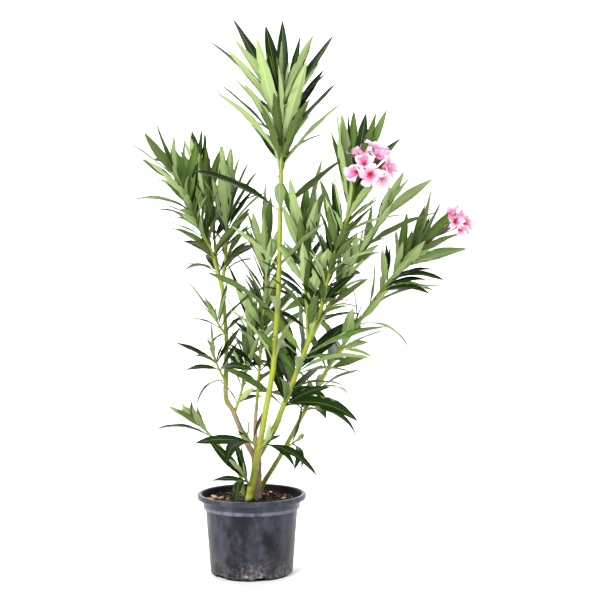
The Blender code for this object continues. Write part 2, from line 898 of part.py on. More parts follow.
def make_pot(collection, cutters):
    lip = (
        (RIM_RADIUS - 0.0060, POT_HEIGHT),
        (RIM_RADIUS - 0.0014, POT_HEIGHT),
        (RIM_RADIUS, POT_HEIGHT - 0.0016),
        (RIM_RADIUS - 0.0003, POT_HEIGHT - RIM_DEPTH + 0.0010),
        (RIM_RADIUS - 0.0022, POT_HEIGHT - RIM_DEPTH),
    )
    levels = (FLOOR, POT_HEIGHT - RIM_DEPTH - COLLAR_DEPTH, POT_HEIGHT - RIM_DEPTH)
    inside = [(inside_radius(max(level, 0.0045)), level) for level in levels]
    inside.append((COLLAR_RADIUS - WALL + 0.0006, POT_HEIGHT - 0.0012))
    outline = ((0.0, FLOOR), *inside, *lip, *wall_outside(), (0.0, 0.0))
    pot = turned("pot", outline, collection, "dark_plastic")
    for number in range(DRAINS):
        turn = math.tau * (number + 0.5) / DRAINS + math.radians(14)
        bpy.ops.mesh.primitive_cube_add(size=1)
        notch = bpy.context.object
        notch.name = f"drain_notch_{number + 1}"
        notch.scale = (2 * DRAIN_DEPTH, DRAIN_WIDTH, 2 * DRAIN_HEIGHT)
        notch.location = (FOOT_RADIUS * math.cos(turn), FOOT_RADIUS * math.sin(turn), 0.0)
        notch.rotation_euler = (0.0, 0.0, turn)
        for holder in list(notch.users_collection):
            holder.objects.unlink(notch)
        cutters.objects.link(notch)
        hide(notch)
        cut = pot.modifiers.new(notch.name, "BOOLEAN")
        cut.object = notch
    return pot


def make_soil(collection):
    levels = (FLOOR + GAP, POT_HEIGHT - RIM_DEPTH - COLLAR_DEPTH, SOIL_LEVEL - SOIL_DIP)
    side = [(inside_radius(max(level, 0.0045)) - 0.0008, level) for level in levels]
    profile = ((0.0, SOIL_LEVEL), (SOIL_FLAT_RADIUS, SOIL_LEVEL), *side[::-1], (0.0, FLOOR + GAP))
    return turned("soil", profile, collection, "potting_soil")


# ---------------------------------------------------------------- leaves
class Leaf(NamedTuple):
    """A blade from its root inside the shoot to its tip, bowed along `bow` and lying across `side`."""

    root: np.ndarray
    tip: np.ndarray
    bow: np.ndarray
    side: np.ndarray
    width: float


def outward_of(direction, axis):
    """The part of a direction that leads straight away from the shoot's axis."""
    across = direction - axis * np.dot(direction, axis)
    return unit(across)


def leaf_towards(centre, radius, offset, axis, bow, roll):
    """A leaf that starts inside the shoot, upper face to the shoot's tip and broad side turned to the light.

    Roll turns it further about its own length.
    """
    length = np.linalg.norm(offset)
    chord = offset / length
    bow = bow + SAG * (1 - chord[2]) / 2
    outward = outward_of(offset, axis)
    root = centre + outward * radius * ROOT_SHARE
    lean = math.acos(float(np.clip(np.dot(chord, axis), -1, 1)))
    upward = math.sin(lean) * axis - math.cos(lean) * outward
    across, lit = np.cross(chord, upward), np.cross(chord, LIGHT)
    across = unit(across + math.copysign(LIGHT_PULL, np.dot(lit, across)) * lit)
    side = math.cos(roll) * across + math.sin(roll) * np.cross(across, chord)
    width = float(np.clip(length * LEAF_SLENDERNESS, *LEAF_WIDTHS))
    return Leaf(root, root + offset, upward * bow * length, side, width)


def half_width(share):
    """Lance-shaped outline: half the blade's width at a share of its length, over its full width."""
    return 0.5 * np.sin(np.pi * share**0.75) ** 1.2


def midrib(leaf, share):
    """A quadratic Bezier from root to tip, lifted by the bow in its middle."""
    middle = (leaf.root + leaf.tip) / 2 + 2 * leaf.bow
    return (1 - share) ** 2 * leaf.root + 2 * share * (1 - share) * middle + share**2 * leaf.tip


def blade(leaf, stations=BLADE_STATIONS, margin=0.0):
    """Points and faces of a blade with a flat top and the midrib's keel below, to a pointed tip."""
    length = np.linalg.norm(leaf.tip - leaf.root)
    points = []
    for share in stations:
        centre = midrib(leaf, share)
        tangent = unit(midrib(leaf, share + 0.02) - centre)
        normal = unit(np.cross(leaf.side, tangent))
        half = max(leaf.width * half_width(share), PETIOLE_HALF_WIDTH) + margin
        keel = max(LEAF_THICKNESS * length, 1.2 * PETIOLE_HALF_WIDTH * (1 - share)) + margin
        top = centre + normal * (margin + keel * 0.25)
        points += [top - leaf.side * half, top + leaf.side * half, centre - normal * keel * 0.75]
    points.append(leaf.tip + unit(leaf.tip - leaf.root) * margin)
    faces = [(0, 2, 1)]
    for ring in range(len(stations) - 1):
        for edge in range(3):
            low, next_low = 3 * ring + edge, 3 * ring + (edge + 1) % 3
            faces += [(low, next_low, next_low + 3), (low, next_low + 3, low + 3)]
    last, tip = 3 * (len(stations) - 1), len(points) - 1
    faces += [(last + edge, last + (edge + 1) % 3, tip) for edge in range(3)]
    return points, faces


def whorl_shares(shoot):
    """Shares of the shoot's length at which its whorls stand, closing up towards the tip."""
    step = np.linspace(0, 1, shoot.whorls)
    return shoot.span[0] + (shoot.span[1] - shoot.span[0]) * (1 - (1 - step) ** shoot.crowding)


def leaf_slots(shoot, tube):
    """Every leaf of a shoot: whorl by whorl, three round the stem, drawn by the shoot's own seed."""
    draws = np.random.default_rng(shoot.seed)
    shares = whorl_shares(shoot)
    turn = draws.uniform(0, 360)
    slots = []
    for whorl, share in enumerate(shares):
        rise = whorl / max(shoot.whorls - 1, 1)
        place, axis = at_share(tube.points, share)
        radius = float(np.interp(share, along(tube.points), tube.radii))
        east = unit(np.cross(axis, (0.0, 1.0, 0.0)))
        north = np.cross(axis, east)
        for leaf in range(LEAVES_PER_WHORL):
            wobble, stretch, lean, bow, roll = draws.uniform(-1, 1, 5)
            angle = math.radians(turn + whorl * WHORL_TURN + leaf * 120 + wobble * 14)
            outward = math.cos(angle) * east + math.sin(angle) * north
            length = (shoot.lengths[0] + (shoot.lengths[1] - shoot.lengths[0]) * rise) * (1 + 0.13 * stretch)
            tilt = math.radians(shoot.tilts[0] + (shoot.tilts[1] - shoot.tilts[0]) * rise**0.8 + 6 * lean)
            bend = BOWS[0] + (BOWS[1] - BOWS[0]) * rise + BOW_SPREAD * bow
            turned_by = LEAF_ROLL * roll * (1 - 0.5 * rise)
            slots.append((place, radius, axis, outward, length, tilt, bend, turned_by))
    return slots


def leading_slots(shoot, slots):
    """Which slot each leading leaf takes: of the nearest whorl, the one that faces its way best."""
    shares = whorl_shares(shoot)
    taken = {}
    for share, offset, roll in shoot.leading:
        offset = np.array(offset, dtype=float) / 1000
        for whorl in np.argsort(abs(shares - share)):
            free = [3 * whorl + k for k in range(LEAVES_PER_WHORL) if 3 * whorl + k not in taken]
            if free:
                facing = [np.dot(slots[k][3], outward_of(offset, slots[k][2])) for k in free]
                taken[free[int(np.argmax(facing))]] = (offset, math.radians(roll))
                break
    return taken


def bloom_guard(bloom, tip):
    """A closed double cone in front of the bloom that leaves stay out of, so that it is seen."""
    hub = tip + np.array(bloom.reach)
    ahead = unit(np.array(bloom.facing))
    right = unit(np.cross(ahead, (0.0, 0.0, 1.0)))
    above = np.cross(right, ahead)
    wide = bloom.spread + 0.7 * FLORET_RADIUS * bloom.size
    turns = [k * math.tau / 12 for k in range(12)]
    points = [hub, *(hub + ahead * wide + wide * (right * math.cos(t) + above * math.sin(t)) for t in turns)]
    points.append(hub + ahead * 2.2 * wide)
    faces = [(0, k + 1, (k + 1) % 12 + 1) for k in range(12)]
    faces += [(13, after, before) for _, before, after in faces]
    return points, faces


def tree_of(shapes):
    """One search tree over several (points, faces)."""
    points, faces = [], []
    for shape_points, shape_faces in shapes:
        start = len(points)
        points += [tuple(point) for point in shape_points]
        faces += [tuple(start + corner for corner in face) for face in shape_faces]
    return BVHTree.FromPolygons(points, faces) if faces else None


def mesh_shape(thing):
    """Points and faces of an object as it stands, modifiers applied."""
    mesh = thing.evaluated_get(bpy.context.evaluated_depsgraph_get()).data
    return [v.co[:] for v in mesh.vertices], [p.vertices[:] for p in mesh.polygons]


def clear(shape, tree):
    return tree is None or not tree_of([shape]).overlap(tree)


def grow(shoots, stems, solids):
    """Leaves of every shoot: leading leaves first, then the rest, each only where it touches nothing."""
    leaves = {name: [] for name in shoots}
    sites = {name: leaf_slots(shoot, stems[name]) for name, shoot in shoots.items()}
    leads = {name: leading_slots(shoot, sites[name]) for name, shoot in shoots.items()}
    bodies = {name: [shape] for name, shape in solids.items()}
    siblings = {name: [] for name in shoots}
    blooming = {name: shoot.bloom for name, shoot in shoots.items() if shoot.bloom}
    guards = [bloom_guard(bloom, stems[name].points[-1]) for name, bloom in blooming.items()]
    for leading in (True, False):
        for name in shoots:
            others = [shape for other, shapes in bodies.items() if other != name for shape in shapes]
            others = tree_of(others + guards)
            for number, (place, radius, axis, outward, length, tilt, bend, roll) in enumerate(sites[name]):
                if (number in leads[name]) != leading:
                    continue
                for turn, lean, shrink in TRIES:
                    turn, lean = math.radians(turn), math.radians(lean)
                    spun = math.cos(turn) * outward + math.sin(turn) * np.cross(axis, outward)
                    offset = length * (math.cos(tilt + lean) * axis + math.sin(tilt + lean) * spun)
                    if leading:
                        offset, roll = leads[name][number]
                        roll += turn
                    leaf = leaf_towards(place, radius, offset * shrink, axis, bend, roll)
                    if leaf.tip[2] < LOWEST_TIP:
                        continue
                    outer = blade(leaf, (0.2, 0.4, 0.7), CLEARANCE / 2)
                    crowded = not leading and not clear(outer, tree_of(siblings[name]))
                    if clear(blade(leaf, margin=CLEARANCE), others) and not crowded:
                        leaves[name].append(leaf)
                        siblings[name].append(outer)
                        bodies[name].append(blade(leaf))
                        break
    return leaves


# ---------------------------------------------------------------- blossom
def bloom_sites(bloom, tip):
    """Hub of the bloom and, for each floret, its throat and facing, fanned round the bloom's facing."""
    draws = np.random.default_rng(bloom.seed)
    hub = tip + np.array(bloom.reach)
    ahead = unit(np.array(bloom.facing))
    right = unit(np.cross(ahead, (0.0, 0.0, 1.0)))
    above = np.cross(right, ahead)
    sites = []
    for number in range(bloom.florets):
        ring = math.sqrt((number + 0.5) / bloom.florets)
        turn = number * math.radians(137.5)
        fan = right * math.cos(turn) * ring + above * math.sin(turn) * ring
        facing = unit(ahead * (1.15 - 0.75 * ring) + fan + draws.uniform(-0.12, 0.12, 3))
        sites.append((hub + bloom.spread * unit(ahead * 0.45 + fan) * (0.55 + 0.6 * ring), facing))
    return hub, sites


def floret_shape(throat, facing, size):
    """A star-shaped funnel of five square-ended petals on a short tube, closed to one solid."""
    right = unit(np.cross(facing, (0.1, 0.2, 1.0)))
    above = np.cross(right, facing)
    radius = FLORET_RADIUS * size
    rim = []
    for petal in range(PETALS):
        for angle, reach in PETAL_OUTLINE:
            turn = math.radians(petal * 360 / PETALS + angle)
            lift = facing * radius * (0.05 if reach > 0.5 else -0.10)
            rim.append(throat + radius * reach * (math.cos(turn) * right + math.sin(turn) * above) + lift)
    count = len(rim)
    back = [point - facing * 0.0009 for point in rim]
    points = [*rim, *back, throat - facing * radius * 0.25, throat - facing * radius * 0.85]
    faces = []
    for here in range(count):
        after = (here + 1) % count
        faces += [(here, after, 2 * count), (here, here + count, after + count), (here, after + count, after)]
        faces.append((here + count, 2 * count + 1, after + count))
    return points, faces


# ---------------------------------------------------------------- building
def shape_object(name, shape, collection):
    mesh = bpy.data.meshes.new(name)
    mesh.from_pydata([tuple(map(float, point)) for point in shape[0]], [], shape[1])
    solid = bmesh.new()
    solid.from_mesh(mesh)
    bmesh.ops.recalc_face_normals(solid, faces=solid.faces)
    solid.to_mesh(mesh)
    solid.free()
    return new_object(name, mesh, collection)


def cope(thing, name, neighbours, tubes):
    """Cuts an object clear of the limbs that it grows from or beside."""
    for neighbour in neighbours:
        cutter = tube_object(f"{name}_cope", tubes[neighbour], bpy.context.scene.collection, swell=GAP)
        combine(thing, "cope", "DIFFERENCE", object=cutter)
        bpy.data.objects.remove(cutter)


def make_limbs(collection, tubes):
    for name, limb in LIMBS.items():
        limb_object = tube_object(name, tubes[name], collection)
        cope(limb_object, name, limb.clear_of, tubes)
        paint(limb_object.data, limb.colour)
        limb_object.data.shade_smooth()


def bloom_pieces(bloom, tip, collection):
    """Stalk, pedicels and florets of one bloom, each its own closed piece."""
    hub, sites = bloom_sites(bloom, tip)
    stalk = Tube(np.array([tip - 0.004 * unit(hub - tip), hub]), np.array([PEDICEL_RADIUS * 1.3] * 2), 4)
    tube_object("stalk", stalk, collection)
    bpy.ops.mesh.primitive_ico_sphere_add(subdivisions=1, radius=HUB_RADIUS, location=hub)
    knob = bpy.context.object
    for holder in list(knob.users_collection):
        holder.objects.unlink(knob)
    collection.objects.link(knob)
    for throat, facing in sites:
        foot = throat - facing * FLORET_RADIUS * bloom.size * 0.6
        back = hub + 0.6 * HUB_RADIUS * unit(foot - hub)
        stalk = Tube(np.array([back, foot]), np.array([PEDICEL_RADIUS] * 2), 4)
        tube_object("pedicel", stalk, collection)
        shape_object("floret", floret_shape(throat, facing, bloom.size), collection)


def fuse(shoot_object, pieces):
    """One union joins every piece of the collection to the shoot, and the pieces are removed."""
    combine(shoot_object, "fuse", "UNION", operand_type="COLLECTION", collection=pieces)
    for piece in list(pieces.objects):
        bpy.data.objects.remove(piece, do_unlink=True)
    bpy.data.collections.remove(pieces)


def make_foliage(collection, tubes):
    """Shoots first, then their bloom, then the leaves that stand clear of both."""
    shoots = {}
    for name, shoot in SHOOTS.items():
        shoots[name] = tube_object(name, tubes[name], collection)
        cope(shoots[name], name, shoot.clear_of, tubes)
    blooms = {}
    for name, shoot in SHOOTS.items():
        if shoot.bloom:
            blooms[name] = new_collection(f"{name}_bloom")
            bloom_pieces(shoot.bloom, tubes[name].points[-1], blooms[name])
            fuse(shoots[name], blooms[name])
    bpy.context.view_layer.update()
    solids = {thing.name: mesh_shape(thing) for thing in collection.objects if thing.type == "MESH"}
    leaves = grow(SHOOTS, tubes, solids)
    for name in SHOOTS:
        pieces = new_collection(f"{name}_leaves")
        for number, leaf in enumerate(leaves[name]):
            shape_object(f"{name}_leaf_{number + 1}", blade(leaf), pieces)
        fuse(shoots[name], pieces)
        paint(shoots[name].data, "leaf")


def main():
    clear_scene()
    plant = new_collection("potted_oleander")
    cutters = new_collection("cutters")
    make_pot(plant, cutters)
    make_soil(plant)
    tubes = {}
    for name, limb in LIMBS.items():
        tubes[name] = tube_of(limb, tubes, limb.sides, 3)
    waiting = dict(SHOOTS)
    while waiting:
        for name, shoot in list(waiting.items()):
            if not shoot.carries_on or shoot.carries_on in tubes:
                tubes[name] = tube_of(waiting.pop(name), tubes, 6, 2)
    make_limbs(plant, tubes)
    make_foliage(plant, tubes)


main()
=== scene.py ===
"""Potted oleander: pot, soil, bark, leaves and blossom, made round the plant's fixed frame, in metres, +Z up.

Limbs are swept tubes with the bark's relief. Leaves stand in whorls of three and grow by one seeded rule.
"""

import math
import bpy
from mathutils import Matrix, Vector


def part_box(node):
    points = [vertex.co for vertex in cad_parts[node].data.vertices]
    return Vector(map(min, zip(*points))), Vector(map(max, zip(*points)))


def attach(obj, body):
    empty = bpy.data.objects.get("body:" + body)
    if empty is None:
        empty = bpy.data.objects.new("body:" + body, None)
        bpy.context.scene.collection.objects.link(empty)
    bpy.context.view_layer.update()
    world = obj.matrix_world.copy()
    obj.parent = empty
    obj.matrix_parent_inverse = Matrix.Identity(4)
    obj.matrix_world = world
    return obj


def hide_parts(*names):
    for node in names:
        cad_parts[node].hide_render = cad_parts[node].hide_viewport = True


bl_info = {
    "name": "Potted Oleander",
    "version": (1, 0, 0),
    "blender": (4, 5, 0),
    "location": "3D View > Sidebar > Oleander",
    "description": "Pot, soil, bark, leaves and blossom of a young potted oleander",
    "category": "Add Mesh",
}

from functools import lru_cache, partial
from typing import NamedTuple

import bpy
import numpy as np
from bpy.props import FloatProperty, FloatVectorProperty, IntProperty, PointerProperty
from mathutils.bvhtree import BVHTree

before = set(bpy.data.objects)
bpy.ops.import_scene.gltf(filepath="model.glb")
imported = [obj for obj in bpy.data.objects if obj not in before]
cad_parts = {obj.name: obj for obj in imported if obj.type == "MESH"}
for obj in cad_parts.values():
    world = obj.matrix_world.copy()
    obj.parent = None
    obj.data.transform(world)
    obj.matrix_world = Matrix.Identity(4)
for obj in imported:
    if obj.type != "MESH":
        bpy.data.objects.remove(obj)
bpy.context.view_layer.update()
POT_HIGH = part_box("pot")[1]

# ---------------------------------------------------------------- driving dimensions, in metres
GAP = 0.0003  # air between neighbouring solids of the frame
SOIL_LEVEL = 0.128
STEM_FOOT = SOIL_LEVEL + GAP  # the flat cut at the foot of every stem
LEAD_IN = 0.003  # straight start of a limb, square to its cut
LEAVES_PER_WHORL = 3
THIRD_TURN = 360 / LEAVES_PER_WHORL
WHORL_TURN = 60.0  # each whorl stands over the gaps of the one below, in degrees
WHORL_WOBBLE = 14  # the most that a leaf stands out of its place in the whorl, in degrees
LENGTH_SPREAD = 0.13  # the most that a leaf is longer or shorter, over its length
TILT_SPREAD = 6  # the most that a leaf leans in or out, in degrees
LEAF_SLENDERNESS = 0.155  # width over length
LEAF_WIDTHS = (0.010, 0.025)  # narrowest and widest blade
LEAF_ROLL = math.radians(42)  # the most that a blade turns about its own length
LIGHT = (0.0, -0.85, 0.5)  # where most of the plant's light comes from
LIGHT_PULL = 0.45  # how strongly a blade turns its broad side to the light
BOWS = (0.020, -0.020)  # rise of the midrib over its chord, over the length: lowest and topmost whorl
BOW_SPREAD = 0.025
SAG = 0.20  # what is added to the bow of a leaf that points straight down
LEAF_THICKNESS = 0.014  # depth of the midrib's keel over length
PETIOLE_HALF_WIDTH = 0.0018
BLADE_STATIONS = (0.0, 0.34, 0.68)  # shares of the length at which a blade has a section
OUTER_STATIONS = (0.2, 0.4, 0.7)  # the same, for the part that keeps clear of its own shoot's leaves
ROOT_SHARE = 0.5  # how far out from the shoot's axis a leaf begins, over the shoot's radius
CLEARANCE = 0.0007  # kept round a leaf that passes another solid
LOWEST_TIP = SOIL_LEVEL + 0.003
# What is tried in turn where a leaf is not clear: a turn round the stem, more tilt (degrees), a shrinking.
TRIES = (
    (0, 0, 1.0), (9, 0, 1.0), (-9, 0, 1.0), (0, 6, 1.0), (18, 3, 0.97), (-18, 3, 0.97),
    (0, -6, 0.97), (27, 8, 0.92), (-27, 8, 0.92), (36, 0, 0.88), (-36, 12, 0.88),
)
GOLDEN_ANGLE = math.radians(137.5)

FLORET_RADIUS = 0.0175
PETALS = 5
PEDICEL_RADIUS = 0.0013
GUARD_SIDES = 12  # sides of the cone that is kept free in front of a bloom


class Limb(NamedTuple):
    """A woody limb: guide points from foot to tip, its radii there, and its neighbours."""

    guide: tuple
    radii: tuple
    carries_on: str = ""  # the limb whose tip it meets, end to end
    clear_of: tuple = ()  # the limbs that it is coped against
    bark: str = "green"


def limb_from(guide, radii, **rest):
    """A limb from guide points in mm, where a height of 0 stands for the stems' cut, and radii in 0.1 mm."""
    points = tuple((x / 1000, y / 1000, z / 1000 or STEM_FOOT) for x, y, z in guide)
    return Limb(points, tuple(radius / 10000 for radius in radii), **rest)


LIMBS = {
    "trunk": limb_from(
        ((3, 8, 0), (5, 8, 134), (8, 8, 165), (8, 7, 205)), (135, 105, 88, 82), bark="old"),
    "stem_front": limb_from(
        ((-4, -15, 0), (4, -16, 169), (22, -19, 266), (38, -20, 355)), (74, 59, 52, 48)),
    "bough_middle": limb_from(
        ((8, 7, 205), (5, 20, 250), (8, 28, 294)), (46, 34, 30), carries_on="trunk", bark="old"),
    "bough_left": limb_from(
        ((8, 7, 192), (-11, 10, 227), (-27, 12, 262), (-34, 13, 280)), (58, 48, 46, 47),
        clear_of=("trunk", "bough_middle"), bark="old"),
    "bough_right": limb_from(
        ((8, 7, 196), (27, 2, 228), (42, -4, 255), (51, -8, 279)), (62, 56, 53, 49),
        clear_of=("trunk", "bough_middle", "bough_left"), bark="old"),
    "bough_left_upper": limb_from(
        ((-34, 13, 280), (-46, 15, 302), (-46, 20, 357), (-47, 27, 420), (-55, 36, 505)),
        (46, 42, 40, 37, 35), carries_on="bough_left"),
    "stem_right": limb_from(
        ((10, 30, 0), (22, 30, 153), (50, 32, 198), (84, 36, 260)), (52, 44, 40, 38)),
    "stem_low_left": limb_from(
        ((-15, 21, 0), (-20, 21, 159), (-38, 23, 191), (-69, 30, 226)), (40, 31, 28, 26)),
    "dead_twig": limb_from(
        ((-14, 10, 233), (-6, 14, 244), (-8, 18, 262)), (20, 16, 12), clear_of=("bough_left",), bark="old"),
}


class Bloom(NamedTuple):
    """Blossom at a shoot's tip: its stalk's reach, its florets, how far they spread and how they face."""

    reach: tuple
    florets: int
    spread: float
    size: float
    facing: tuple
    seed: int


class Shoot(NamedTuple):
    """A mass of foliage: one green shoot, its whorls of leaves and, where it has any, its bloom.

    Leading leaves are (share of the shoot's length, tip's x, y and z from the leaf's root in mm, roll in
    degrees). Each takes the place of the whorl leaf that stands nearest to it.
    """

    guide: tuple
    radii: tuple
    whorls: int
    span: tuple  # shares of the shoot's length between which the whorls stand
    crowding: float  # above 1, the whorls draw together towards the tip
    lengths: tuple  # leaf length in the lowest and the topmost whorl
    tilts: tuple  # angle between leaf and shoot in the lowest and the topmost whorl, in degrees
    seed: int
    leading: tuple = ()
    carries_on: str = ""
    clear_of: tuple = ()
    bloom: Bloom = None


def shoot_from(guide, radii, whorls, span, crowding, lengths, tilts, seed, leading, **rest):
    """A shoot from a guide and leaf lengths in mm and radii in 0.1 mm."""
    line = limb_from(guide, radii)
    lengths = tuple(length / 1000 for length in lengths)
    return Shoot(line.guide, line.radii, whorls, span, crowding, lengths, tilts, seed, leading, **rest)


